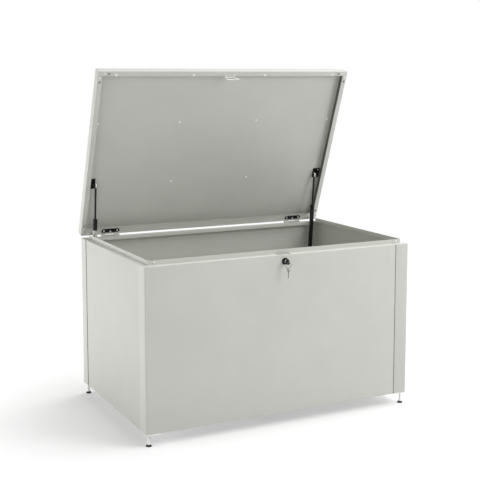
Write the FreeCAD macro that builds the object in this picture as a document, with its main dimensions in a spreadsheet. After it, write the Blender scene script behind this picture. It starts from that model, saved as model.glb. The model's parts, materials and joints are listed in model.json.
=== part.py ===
import FreeCAD, Part
import math
import os

import Sketcher

# Sheet-steel garden storage box with a hinged lid held by two gas struts.
# Millimetres, +Z up, +X to the right seen from the front, front at -Y.
# The origin is on the ground in the middle of the four walls. The lid is
# modelled shut about its hinge line and then set at its open angle.

SIZES = [
    ("body_width", 1350.0, "outside width across the side walls"),
    ("body_depth", 860.0, "outside depth across front and back walls"),
    ("panel_height", 732.0, "wall height from bottom edge to ledge"),
    ("foot_height", 56.0, "bottom edge above the ground"),
    ("sheet", 1.0, "thickness of the wall and lid sheet"),
    ("corner_bend", 6.0, "outside radius of the upright bends"),
    ("top_bend", 2.2, "outside radius of the bend under the ledge"),
    ("ledge", 28.0, "outer face to the outside of the rain rim"),
    ("rim_height", 20.0, "rain rim above the ledge"),
    ("rim_clear", 4.0, "end of the rain rim to the lid's rear lip"),
    ("back_ledge", 30.0, "width of the ledge along the back wall"),
    ("back_turn", 16.0, "turned-down edge of the back ledge"),
    ("bottom_return", 34.0, "bottom flange turned inwards"),
    ("strip", 70.0, "strip of the rear sheet on the front and left faces"),
    ("seam", 1.2, "open joint between the two wall sheets"),
    ("lap_out", 26.0, "lap reaching behind the strip"),
    ("lap_in", 14.0, "lap reaching back from the seam"),
    ("floor_clear", 4.0, "floor panel to the wall sheet"),
    ("floor_notch", 40.0, "corner of the floor panel cut out at a foot"),
    ("rail_width", 60.0, "floor rail width"),
    ("rail_height", 22.0, "floor rail height"),
    ("foot_inset", 19.0, "foot axis from both outer faces"),
    ("foot_plate", 72.0, "side of the square foot plate"),
    ("foot_plate_in", 1.5, "foot plate set in from the outer faces"),
    ("foot_plate_thick", 3.0, "foot plate thickness"),
    ("bush_radius", 8.0, "threaded bush in the foot plate, outside"),
    ("bush_rise", 12.0, "bush above the bottom flange"),
    ("stud_radius", 5.0, "levelling stud radius"),
    ("stud_spare", 20.0, "stud standing above its bush"),
    ("pad_radius", 13.0, "foot pad radius"),
    ("pad_height", 9.0, "foot pad height"),
    ("pad_neck", 7.5, "foot pad radius at its top"),
    ("pad_socket", 5.0, "depth of the stud in its pad"),
    ("run_fit", 0.05, "radial running clearance of shafts"),
    ("hole_fit", 0.05, "radial clearance of screws and rivets"),
    ("lid_gap", 6.0, "lip of the shut lid above the ledge"),
    ("lid_depth", 40.0, "lid from lip to panel top"),
    ("lid_side_over", 1.0, "lid past the side walls"),
    ("lid_front_over", 8.0, "lid past the front wall"),
    ("lid_lip", 24.0, "inward lip of the lid at front and sides"),
    ("lid_rear_lip", 39.0, "inward lip of the lid at the back"),
    ("lid_corner", 3.0, "upright corner radius of the lid"),
    ("top_sheet", 0.6, "thickness of the cover sheet on the lid"),
    ("top_sheet_in", 2.5, "cover sheet set in from the lid's edge"),
    ("axis_out", 4.0, "hinge line behind the back wall"),
    ("axis_rise", 2.0, "hinge line above the ledge"),
    ("open_angle", 69.0, "lid angle from shut to open, degrees"),
    ("hinge_in", 152.0, "middle of each hinge from the side wall"),
    ("leaf_length", 95.0, "hinge leaf length along the lid"),
    ("leaf_width", 26.0, "hinge leaf reach from the hinge line"),
    ("leaf_thick", 2.0, "hinge leaf thickness"),
    ("leaf_round", 9.0, "round on the outer corners of a leaf"),
    ("knuckle_radius", 4.0, "hinge knuckle outside radius"),
    ("knuckle_length", 45.0, "middle knuckle length"),
    ("knuckle_gap", 0.4, "gap between knuckles"),
    ("knuckle_clear", 0.6, "hinge leaf to the other leaf's knuckle"),
    ("pin_radius", 2.4, "hinge pin radius"),
    ("pin_head", 1.5, "hinge pin head thickness"),
    ("pin_head_radius", 3.9, "hinge pin head radius"),
    ("leaf_screw_step", 35.0, "outer hinge screws from the middle one"),
    ("leaf_screw_in", 18.0, "outer hinge screws from the hinge line"),
    ("leaf_screw_mid", 13.0, "middle hinge screw from the hinge line"),
    ("screw_head", 4.2, "screw head radius"),
    ("screw_head_rise", 1.4, "screw head height"),
    ("screw_radius", 2.1, "screw shank radius"),
    ("rivet_head", 4.0, "rivet head radius"),
    ("rivet_head_rise", 1.5, "rivet head height"),
    ("rivet_radius", 2.0, "rivet shank radius"),
    ("rivet_tail", 1.2, "rivet shank past the last sheet"),
    ("panel_rivet_in", 463.0, "inner panel rivets from the lid's side"),
    ("panel_rivet_edge", 40.0, "outer panel rivets from the lid's side"),
    ("panel_rivet_front", 590.0, "front rivet row from the hinge line"),
    ("panel_rivet_rear", 265.0, "rear rivet row from the hinge line"),
    ("lip_rivet_inner", 481.0, "inner lip rivets from the lid's side"),
    ("lip_rivet_outer", 89.0, "outer lip rivets from the lid's side"),
    ("lip_rivet_edge", 5.0, "lip rivets from the lip's inner edge"),
    ("corner_leg", 66.0, "leg length of a lid corner plate"),
    ("corner_width", 21.0, "leg width of a lid corner plate"),
    ("corner_thick", 1.5, "lid corner plate thickness"),
    ("corner_in", 1.5, "corner plate set in from the lid's edge"),
    ("corner_screw", 34.0, "corner screws from the lid's corner"),
    ("corner_buffer", 54.0, "buffers from the lid's corner"),
    ("corner_line", 12.0, "corner screws and buffers from the lid's edge"),
    ("buffer_radius", 5.0, "rubber buffer radius"),
    ("buffer_clear", 0.3, "buffer above the ledge with the lid shut"),
    ("strike_width", 62.0, "strike plate width"),
    ("strike_thick", 2.0, "strike plate thickness"),
    ("strike_place", 20.0, "strike plate behind the front face"),
    ("strike_base", 14.0, "strike flange under the lip"),
    ("strike_screw", 24.0, "strike screws from the centre line"),
    ("strike_foot", 8.5, "hook of the strike towards the front"),
    ("strike_foot_from", 11.0, "hook starts right of the lock"),
    ("strike_foot_width", 21.0, "hook width"),
    ("strike_slot_clear", 4.0, "slot in the ledge past the strike"),
    ("lock_drop", 30.0, "lock axis below the ledge"),
    ("rosette_radius", 16.0, "lock rosette radius"),
    ("rosette_thick", 6.0, "lock rosette thickness"),
    ("lock_radius", 9.5, "lock body radius"),
    ("lock_depth", 12.0, "lock body behind the front face"),
    ("lock_nut_radius", 13.0, "lock nut radius"),
    ("lock_nut_thick", 3.0, "lock nut thickness"),
    ("plug_radius", 6.0, "lock plug radius"),
    ("plug_proud", 1.0, "plug in front of the rosette"),
    ("cam_thick", 2.5, "lock cam thickness"),
    ("cam_half", 7.0, "half width of the lock cam"),
    ("cam_reach", 30.0, "lock cam reach from the axis"),
    ("cam_gap", 0.4, "lock body to cam"),
    ("cam_clear", 2.0, "turned cam above the strike's hook"),
    ("cam_nut_radius", 5.0, "cam screw head radius"),
    ("cam_nut_thick", 2.0, "cam screw head thickness"),
    ("key_thick", 2.2, "key blade thickness"),
    ("key_width", 7.0, "key blade width"),
    ("key_inside", 16.0, "key blade inside the plug"),
    ("key_neck", 9.0, "key blade between plug and bow"),
    ("bow_radius", 12.0, "key bow radius"),
    ("bow_hole", 3.5, "hole in the key bow"),
    ("bow_hole_out", 5.0, "hole past the middle of the bow"),
    ("key_fit", 0.1, "key in its slot, each side"),
    ("key_end", 0.3, "key tip to the end of its slot"),
    ("ring_radius", 13.0, "key ring radius to the wire's middle"),
    ("ring_wire", 0.9, "key ring wire radius"),
    ("ring_clear", 0.3, "key ring to a key's hole"),
    ("spare_blade", 28.0, "spare key blade length"),
    ("spare_bow", 10.5, "spare key bow radius"),
    ("spare_hole_up", 5.0, "hole above the middle of the spare bow"),
    ("strut_in", 56.0, "strut axis from the side wall"),
    ("strut_arm", 274.0, "both strut pivots from the hinge line"),
    ("strut_lid_angle", 5.0, "lid pivot above level with the lid shut, degrees"),
    ("strut_wall_angle", 85.0, "wall pivot below level at the hinge line, degrees"),
    ("barrel_radius", 11.0, "strut barrel radius"),
    ("barrel_wall", 1.5, "strut barrel wall"),
    ("barrel_cap", 8.0, "strut barrel end cap"),
    ("rod_radius", 5.0, "strut rod radius"),
    ("piston_thick", 8.0, "strut piston"),
    ("piston_gap", 1.0, "piston to cap with the lid open"),
    ("piston_clear", 0.3, "piston to barrel wall"),
    ("eye_radius", 8.0, "strut eye radius"),
    ("eye_width", 10.0, "strut eye width"),
    ("eye_reach", 16.0, "strut eye middle to its shoulder"),
    ("eye_flat", 13.0, "rod eye middle to the end of its flats"),
    ("eye_neck", 7.0, "rod eye neck radius"),
    ("barrel_neck", 4.4, "barrel eye neck radius"),
    ("eye_gap", 0.3, "strut eye to bracket collar and cap"),
    ("eye_clear", 1.5, "rod eye to barrel with the lid shut"),
    ("bolt_radius", 4.0, "strut bracket pin radius"),
    ("bolt_cap", 6.5, "strut bracket pin cap radius"),
    ("bolt_cap_thick", 1.6, "strut bracket pin cap thickness"),
    ("ear_thick", 3.0, "strut bracket ear"),
    ("ear_in", 36.0, "strut bracket ear from the side wall"),
    ("ear_margin", 11.0, "ear past the pin"),
    ("base_thick", 2.0, "strut bracket base"),
    ("lid_base_length", 54.0, "lid bracket base along the lid"),
    ("lid_base_width", 24.0, "lid bracket base across"),
    ("wall_base_width", 30.0, "wall bracket base across"),
    ("wall_base_height", 60.0, "wall bracket base height"),
    ("bracket_rivet", 18.0, "bracket rivets from the bracket's middle"),
    ("rim_rivet_left", 55.0, "left rim rivet from the side wall"),
    ("rim_rivet_right", 52.0, "right rim rivet from the side wall"),
    ("rim_rivet_rise", 10.0, "rim rivets above the ledge"),
    ("rim_lap", 42.0, "corner lap of the rain rim"),
]

doc = FreeCAD.newDocument("garden_box")
sheet = doc.addObject("Spreadsheet::Sheet", "Sizes")


class Size:
    """A length or angle with its number and its text in the sheet."""

    def __init__(self, value, text):
        self.value = float(value)
        self.text = text

    def __add__(self, other):
        other = as_size(other)
        return Size(self.value + other.value, f"({self.text} + {other.text})")

    def __sub__(self, other):
        other = as_size(other)
        return Size(self.value - other.value, f"({self.text} - {other.text})")

    def __mul__(self, other):
        other = as_size(other)
        return Size(self.value * other.value, f"({self.text} * {other.text})")

    def __truediv__(self, other):
        other = as_size(other)
        return Size(self.value / other.value, f"({self.text} / {other.text})")

    def __neg__(self):
        return Size(-self.value, f"(0 - {self.text})")

    __radd__ = __add__

    def __rsub__(self, other):
        return as_size(other) - self

    __rmul__ = __mul__


def as_size(number):
    return number if isinstance(number, Size) else Size(number, repr(float(number)))


def cos(angle):
    return Size(math.cos(math.radians(angle.value)), f"cos({angle.text})")


def sin(angle):
    return Size(math.sin(math.radians(angle.value)), f"sin({angle.text})")


class Names:
    """The sheet's values by name."""


k = Names()
for row, (alias, number, note) in enumerate(SIZES, start=1):
    sheet.set(f"A{row}", note)
    sheet.set(f"B{row}", str(number))
    sheet.setAlias(f"B{row}", alias)
    setattr(k, alias, Size(number, f"Sizes.{alias}"))
doc.recompute()

# Places shared by several pieces
half_w = k.body_width / 2
half_d = k.body_depth / 2
base_z = k.foot_height
ledge_z = k.foot_height + k.panel_height
seam_x = half_w - k.strip - k.seam
seam_y = half_d - k.strip - k.seam
axis_y = half_d + k.axis_out
axis_z = ledge_z + k.axis_rise
lid_half = half_w + k.lid_side_over
lid_rear = k.axis_out
lid_front = k.axis_out + k.body_depth + k.lid_front_over
lid_low = k.lid_gap - k.axis_rise
lid_high = lid_low + k.lid_depth
panel_in = lid_high - k.sheet
lock_z = ledge_z - k.lock_drop
front_y = -half_d
strut_half_open = (k.strut_lid_angle + k.open_angle + k.strut_wall_angle) / 2
strut_half_shut = (k.strut_lid_angle + k.strut_wall_angle) / 2
strut_open = k.strut_arm * 2 * sin(strut_half_open)
strut_shut = k.strut_arm * 2 * sin(strut_half_shut)
barrel_top = strut_shut - k.eye_reach - k.eye_clear

parts = []


def bind(obj, prop, size):
    size = as_size(size)
    obj.setExpression(prop, size.text)


def place(obj, x, y, z):
    for axis, size in zip("xyz", (x, y, z)):
        bind(obj, f"Placement.Base.{axis}", size)


def finish(obj, label):
    """Name a finished piece and keep it for writing."""
    obj.Label = label
    parts.append(obj)
    return obj


def on_lid(obj):
    """Set a piece drawn about the hinge line on the open lid."""
    obj.setExpression(
        "Placement",
        f"create(<<placement>>; create(<<vector>>; 0; {axis_y.text}; {axis_z.text}); "
        f"create(<<rotation>>; create(<<vector>>; 1; 0; 0); 0 - {k.open_angle.text}))")
    return obj


def turned(obj, y, z, angle):
    """Set a piece drawn about the X axis at a pivot, turned about X."""
    obj.setExpression(
        "Placement",
        f"create(<<placement>>; create(<<vector>>; 0; {y.text}; {z.text}); "
        f"create(<<rotation>>; create(<<vector>>; 1; 0; 0); {angle.text}))")
    return obj


def box(name, x, y, z):
    """A block between pairs of limits along X, Y and Z."""
    obj = doc.addObject("Part::Box", name)
    low = [as_size(pair[0]) for pair in (x, y, z)]
    high = [as_size(pair[1]) for pair in (x, y, z)]
    for prop, a, b in zip(("Length", "Width", "Height"), low, high):
        bind(obj, prop, b - a)
    place(obj, *low)
    return obj


TURN = {
    "+X": FreeCAD.Rotation(FreeCAD.Vector(0, 1, 0), 90),
    "-X": FreeCAD.Rotation(FreeCAD.Vector(0, 1, 0), -90),
    "+Y": FreeCAD.Rotation(FreeCAD.Vector(1, 0, 0), -90),
    "-Y": FreeCAD.Rotation(FreeCAD.Vector(1, 0, 0), 90),
    "+Z": FreeCAD.Rotation(),
    "-Z": FreeCAD.Rotation(FreeCAD.Vector(1, 0, 0), 180),
}


def rod(name, at, axis, radius, length):
    """A cylinder from a point along an axis."""
    obj = doc.addObject("Part::Cylinder", name)
    obj.Placement = FreeCAD.Placement(FreeCAD.Vector(), TURN[axis])
    bind(obj, "Radius", radius)
    bind(obj, "Height", length)
    place(obj, *at)
    return obj


def drill(name, at, axis, radius, depth):
    """A cutter for a round hole; it runs past both faces by a sheet's thickness."""
    back = k.sheet if axis[0] == "+" else -k.sheet
    start = [place - back if letter == axis[1] else place for place, letter in zip(at, "XYZ")]
    return rod(name, start, axis, radius, depth + k.sheet * 2)


def cone(name, at, axis, low_radius, high_radius, length):
    obj = doc.addObject("Part::Cone", name)
    obj.Placement = FreeCAD.Placement(FreeCAD.Vector(), TURN[axis])
    bind(obj, "Radius1", low_radius)
    bind(obj, "Radius2", high_radius)
    bind(obj, "Height", length)
    place(obj, *at)
    return obj


def fuse(name, pieces):
    obj = doc.addObject("Part::MultiFuse", name)
    obj.Shapes = pieces
    obj.Refine = True
    return obj


def cut(name, base, tools):
    obj = doc.addObject("Part::Cut", name)
    obj.Base = base
    obj.Tool = tools[0] if len(tools) == 1 else fuse(f"{name}_tools", tools)
    obj.Refine = True
    return obj


def outline(sketch, corners):
    """Draw a closed outline of straight sides along X and Y.

    Each corner is (x, y) or (x, y, radius); every point is held by its
    distance from the origin.
    """
    corners = [tuple(as_size(c) for c in corner) for corner in corners]
    count = len(corners)
    heading = []
    for i, corner in enumerate(corners):
        nxt = corners[(i + 1) % count]
        dx = nxt[0].value - corner[0].value
        dy = nxt[1].value - corner[1].value
        heading.append((int(math.copysign(1, dx)) if abs(dx) > abs(dy) else 0,
                        int(math.copysign(1, dy)) if abs(dy) > abs(dx) else 0))
    ends = []
    for i, corner in enumerate(corners):
        x, y = corner[:2]
        if len(corner) == 2:
            ends.append(((x, y), (x, y), None))
            continue
        (ix, iy), (ox, oy) = heading[i - 1], heading[i]
        r = corner[2]
        first = (x - r * ix if ix else x, y - r * iy if iy else y)
        last = (x + r * ox if ox else x, y + r * oy if oy else y)
        middle = (first[0] + r * ox if ox else first[0], first[1] + r * oy if oy else first[1])
        ends.append((first, last, middle))

    def vector(point):
        return FreeCAD.Vector(point[0].value, point[1].value, 0)

    def hold(geo, pos, point):
        for kind, size in (("DistanceX", point[0]), ("DistanceY", point[1])):
            number = sketch.addConstraint(Sketcher.Constraint(kind, -1, 1, geo, pos, size.value))
            sketch.setExpression(f"Constraints[{number}]", size.text)

    lines = []
    for i in range(count):
        start, stop = ends[i][1], ends[(i + 1) % count][0]
        lines.append(sketch.addGeometry(Part.LineSegment(vector(start), vector(stop)), False))
    for i in range(count):
        before, after = lines[i - 1], lines[i]
        first, last, middle = ends[i]
        hold(after, 1, last)
        if middle is None:
            sketch.addConstraint(Sketcher.Constraint("Coincident", before, 2, after, 1))
            continue
        hold(before, 2, first)
        (ix, iy), (ox, oy) = heading[i - 1], heading[i]
        left_turn = ix * oy - iy * ox > 0
        a, b = (first, last) if left_turn else (last, first)
        m = vector(middle)
        angles = [math.atan2(vector(p).y - m.y, vector(p).x - m.x) for p in (a, b)]
        if angles[1] < angles[0]:
            angles[1] += 2 * math.pi
        circle = Part.Circle(m, FreeCAD.Vector(0, 0, 1), corners[i][2].value)
        arc = sketch.addGeometry(Part.ArcOfCircle(circle, angles[0], angles[1]), False)
        near, far = ((before, 2), (after, 1)) if left_turn else ((after, 1), (before, 2))
        sketch.addConstraint(Sketcher.Constraint("Coincident", arc, 1, near[0], near[1]))
        sketch.addConstraint(Sketcher.Constraint("Coincident", arc, 2, far[0], far[1]))
        number = sketch.addConstraint(Sketcher.Constraint("DistanceX", -1, 1, arc, 3, m.x))
        sketch.setExpression(f"Constraints[{number}]", middle[0].text)


def new_body(name):
    return doc.addObject("PartDesign::Body", name)


def pad(body, name, outlines, low, high):
    """Raise one or more level outlines between two heights."""
    plane = next(f for f in body.Origin.OriginFeatures if f.Role == "XY_Plane")
    sketch = body.newObject("Sketcher::SketchObject", f"{name}_sketch")
    sketch.AttachmentSupport = [(plane, "")]
    sketch.MapMode = "FlatFace"
    bind(sketch, "AttachmentOffset.Base.z", low)
    for corners in outlines:
        outline(sketch, corners)
    feature = body.newObject("PartDesign::Pad", name)
    feature.Profile = sketch
    bind(feature, "Length", as_size(high) - low)
    doc.recompute()
    return feature


def rectangle(x, y, radius=None):
    """Corners of a level rectangle, anticlockwise."""
    corners = [(x[0], y[0]), (x[1], y[0]), (x[1], y[1]), (x[0], y[1])]
    return corners if radius is None else [(a, b, radius) for a, b in corners]


def round_edges(body, name, radius, test):
    """Round the edges of a body that a test picks out."""
    base = body.Tip
    picked = [f"Edge{i}" for i, edge in enumerate(base.Shape.Edges, start=1) if test(edge)]
    feature = body.newObject("PartDesign::Fillet", name)
    feature.Base = (base, picked)
    bind(feature, "Radius", radius)
    doc.recompute()
    return feature


def fastener(name, at, axis, head, rise, radius, grip):
    """A headed screw or rivet; its head stands at the point, against the axis."""
    back = {"+": "-", "-": "+"}[axis[0]] + axis[1]
    return fuse(name, [cone(f"{name}_head", at, back, head, head - rise / 2, rise),
                       rod(f"{name}_shank", at, axis, radius, grip)])


def group(name, pieces):
    obj = doc.addObject("Part::Compound", name)
    obj.Links = pieces
    return obj


def between(side, near, far):
    """Limits along X of a stretch measured inwards from a side wall."""
    near, far = as_size(near), as_size(far)
    return (-half_w + near, -half_w + far) if side < 0 else (half_w - far, half_w - near)


def inward(side):
    return "+X" if side < 0 else "-X"


SIDES = (("left", -1), ("right", 1))

# Front and left wall sheet: one sheet bent at the front left corner
ledge_in = k.ledge + k.sheet
rim_end = half_d - k.lid_rear_lip - k.rim_clear
sheet_a = new_body("sheet_a")
pad(sheet_a, "a_walls", [[
    (seam_x, front_y), (seam_x, front_y + k.sheet),
    (-half_w + k.sheet, front_y + k.sheet, k.corner_bend - k.sheet),
    (-half_w + k.sheet, seam_y), (-half_w, seam_y), (-half_w, front_y, k.corner_bend)]], base_z, ledge_z)
pad(sheet_a, "a_ledge", [[
    (seam_x, front_y), (seam_x, front_y + ledge_in), (-half_w + ledge_in, front_y + ledge_in),
    (-half_w + ledge_in, seam_y), (-half_w, seam_y), (-half_w, front_y, k.corner_bend)]],
    ledge_z - k.sheet, ledge_z)
pad(sheet_a, "a_rim", [[
    (seam_x, front_y + k.ledge), (seam_x, front_y + ledge_in), (-half_w + ledge_in, front_y + ledge_in),
    (-half_w + ledge_in, seam_y), (-half_w + k.ledge, seam_y), (-half_w + k.ledge, front_y + k.ledge)]],
    ledge_z - k.sheet, ledge_z + k.rim_height)
pad(sheet_a, "a_bottom", [[
    (seam_x, front_y), (seam_x, front_y + k.bottom_return),
    (-half_w + k.bottom_return, front_y + k.bottom_return),
    (-half_w + k.bottom_return, seam_y), (-half_w, seam_y), (-half_w, front_y, k.corner_bend)]],
    base_z, base_z + k.sheet)
wall_lap_z = (base_z + k.sheet, ledge_z - k.sheet)
rim_lap_z = (ledge_z, ledge_z + k.rim_height)
lap_x = (seam_x - k.lap_in, seam_x + k.seam + k.lap_out)
lap_y = (seam_y - k.lap_in, seam_y + k.seam + k.lap_out)
pad(sheet_a, "a_front_lap", [rectangle(lap_x, (front_y + k.sheet, front_y + k.sheet * 2))], *wall_lap_z)
pad(sheet_a, "a_left_lap", [rectangle((-half_w + k.sheet, -half_w + k.sheet * 2), lap_y)], *wall_lap_z)
rim_lap_y = (front_y + ledge_in, front_y + ledge_in + k.sheet)
rim_lap_x = (-half_w + ledge_in, -half_w + ledge_in + k.rim_lap)
pad(sheet_a, "a_rim_lap", [rectangle(lap_x, rim_lap_y)], *rim_lap_z)
pad(sheet_a, "a_rim_corner", [rectangle(rim_lap_x, rim_lap_y)], *rim_lap_z)


def outer_top_edge(edge):
    """Edges of the ledge's outer border, for the bend under it."""
    ends = [v.Point for v in edge.Vertexes]
    if any(abs(p.z - ledge_z.value) > 1e-4 for p in ends):
        return False
    middle = edge.CenterOfMass
    return (abs(middle.x) > half_w.value - k.corner_bend.value * 0.5
            or abs(middle.y) > half_d.value - k.corner_bend.value * 0.5) and edge.Length > k.sheet.value * 4


round_edges(sheet_a, "a_bend", k.top_bend, outer_top_edge)

# Back and right wall sheet with its strips on the front and left faces
sheet_b = new_body("sheet_b")
b_outer = [(half_w - k.strip, front_y), (half_w, front_y, k.corner_bend), (half_w, half_d, k.corner_bend),
           (-half_w, half_d, k.corner_bend), (-half_w, half_d - k.strip)]
bend_in = k.corner_bend - k.sheet
pad(sheet_b, "b_walls", [b_outer + [
    (-half_w + k.sheet, half_d - k.strip), (-half_w + k.sheet, half_d - k.sheet, bend_in),
    (half_w - k.sheet, half_d - k.sheet, bend_in), (half_w - k.sheet, front_y + k.sheet, bend_in),
    (half_w - k.strip, front_y + k.sheet)]], base_z, ledge_z)
pad(sheet_b, "b_ledge", [b_outer + [
    (-half_w + ledge_in, half_d - k.strip), (-half_w + ledge_in, half_d - k.back_ledge),
    (half_w - ledge_in, half_d - k.back_ledge), (half_w - ledge_in, front_y + ledge_in),
    (half_w - k.strip, front_y + ledge_in)]], ledge_z - k.sheet, ledge_z)
pad(sheet_b, "b_rim", [[
    (half_w - k.strip, front_y + k.ledge), (half_w - k.ledge, front_y + k.ledge),
    (half_w - k.ledge, rim_end), (half_w - ledge_in, rim_end),
    (half_w - ledge_in, front_y + ledge_in), (half_w - k.strip, front_y + ledge_in)]],
    ledge_z - k.sheet, ledge_z + k.rim_height)
pad(sheet_b, "b_rim_left", [rectangle(
    (-half_w + k.ledge, -half_w + ledge_in), (half_d - k.strip, rim_end))],
    ledge_z - k.sheet, ledge_z + k.rim_height)
pad(sheet_b, "b_turn", [rectangle(
    (-half_w + ledge_in, half_w - ledge_in), (half_d - k.back_ledge, half_d - k.back_ledge + k.sheet))],
    ledge_z - k.back_turn, ledge_z)
pad(sheet_b, "b_bottom", [b_outer + [
    (-half_w + k.bottom_return, half_d - k.strip), (-half_w + k.bottom_return, half_d - k.bottom_return),
    (half_w - k.bottom_return, half_d - k.bottom_return),
    (half_w - k.bottom_return, front_y + k.bottom_return),
    (half_w - k.strip, front_y + k.bottom_return)]], base_z, base_z + k.sheet)
round_edges(sheet_b, "b_bend", k.top_bend, outer_top_edge)

# Feet: a plate with a threaded bush under each corner, a stud and a pad
foot_x = half_w - k.foot_inset
foot_y = half_d - k.foot_inset
FEET = (("front_left", -1, -1), ("front_right", 1, -1), ("back_left", -1, 1), ("back_right", 1, 1))
bush_low = base_z - k.foot_plate_thick
bush_high = base_z + k.sheet + k.bush_rise
bush_holes = {"a": [], "b": []}
for corner, sx, sy in FEET:
    at_x, at_y = foot_x * sx, foot_y * sy
    edge_x = (half_w - k.foot_plate_in) * sx
    edge_y = (half_d - k.foot_plate_in) * sy
    plate_x = (edge_x, edge_x + k.foot_plate) if sx < 0 else (edge_x - k.foot_plate, edge_x)
    plate_y = (edge_y, edge_y + k.foot_plate) if sy < 0 else (edge_y - k.foot_plate, edge_y)
    plate = fuse(f"bracket_{corner}_solid", [
        box(f"bracket_{corner}_plate", plate_x, plate_y, (bush_low, base_z)),
        rod(f"bracket_{corner}_bush", (at_x, at_y, bush_low), "+Z", k.bush_radius, bush_high - bush_low)])
    finish(cut(f"bracket_{corner}", plate, [
        drill(f"bracket_{corner}_bore", (at_x, at_y, bush_low), "+Z",
              k.stud_radius + k.run_fit, bush_high - bush_low)]), f"foot_bracket_{corner}")
    hole = drill(f"bush_hole_{corner}", (at_x, at_y, base_z), "+Z", k.bush_radius + k.hole_fit, k.sheet)
    bush_holes["a" if (sx, sy) == (-1, -1) else "b"].append(hole)
    seat = k.pad_height - k.pad_socket
    finish(rod(f"stud_{corner}", (at_x, at_y, seat), "+Z", k.stud_radius,
               bush_high + k.stud_spare - seat), f"foot_stud_{corner}")
    pad_solid = fuse(f"pad_{corner}_solid", [
        rod(f"pad_{corner}_disc", (at_x, at_y, 0), "+Z", k.pad_radius, k.pad_height / 2),
        cone(f"pad_{corner}_cone", (at_x, at_y, k.pad_height / 2), "+Z", k.pad_radius,
             k.pad_neck, k.pad_height / 2)])
    finish(cut(f"pad_{corner}", pad_solid, [
        rod(f"pad_{corner}_seat", (at_x, at_y, seat), "+Z", k.stud_radius, k.pad_height)]),
        f"foot_pad_{corner}")

# Floor panel on the bottom flanges, notched at the feet, and a rail under it
floor = new_body("floor")
fx = half_w - k.sheet - k.floor_clear
fy = half_d - k.sheet - k.floor_clear
nx = fx - k.floor_notch
ny = fy - k.floor_notch
floor_z = base_z + k.sheet
pad(floor, "floor_plate", [[
    (-nx, -fy), (nx, -fy), (nx, -ny), (fx, -ny), (fx, ny), (nx, ny),
    (nx, fy), (-nx, fy), (-nx, ny), (-fx, ny), (-fx, -ny), (-nx, -ny)]], floor_z, floor_z + k.sheet)
finish(floor, "floor_panel")
rail_x = k.rail_width / 2
rail_y = half_d - k.bottom_return
rail_low = floor_z - k.rail_height
rail_block = box("rail_block", (-rail_x, rail_x), (-rail_y, rail_y), (rail_low, floor_z))
finish(cut("rail", rail_block, [
    box("rail_hollow", (-rail_x + k.sheet, rail_x - k.sheet), (-rail_y - k.sheet, rail_y + k.sheet),
        (rail_low - k.sheet, floor_z - k.sheet))]), "floor_rail")

# Rain rim rivets, heads outwards
rim_z = ledge_z + k.rim_rivet_rise
rim_grip = k.sheet * 2 + k.rivet_tail
RIM_RIVETS = (
    ("front_left", (-half_w + k.rim_rivet_left, front_y + k.ledge, rim_z), "+Y", "a"),
    ("front_right", (half_w - k.rim_rivet_right, front_y + k.ledge, rim_z), "+Y", "ab"),
)
rivet_hole = k.rivet_radius + k.hole_fit
screw_hole = k.screw_radius + k.hole_fit
rim_rivets = []
rim_holes = {"a": [], "b": []}
for name, at, axis, sheets in RIM_RIVETS:
    rim_rivets.append(fastener(f"rim_rivet_{name}", at, axis, k.rivet_head, k.rivet_head_rise,
                               k.rivet_radius, rim_grip))
    for which in sheets:
        rim_holes[which].append(drill(f"rim_hole_{name}_{which}", at, axis, rivet_hole, rim_grip))
finish(group("rim_rivets", rim_rivets), "rim_rivets")

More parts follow.
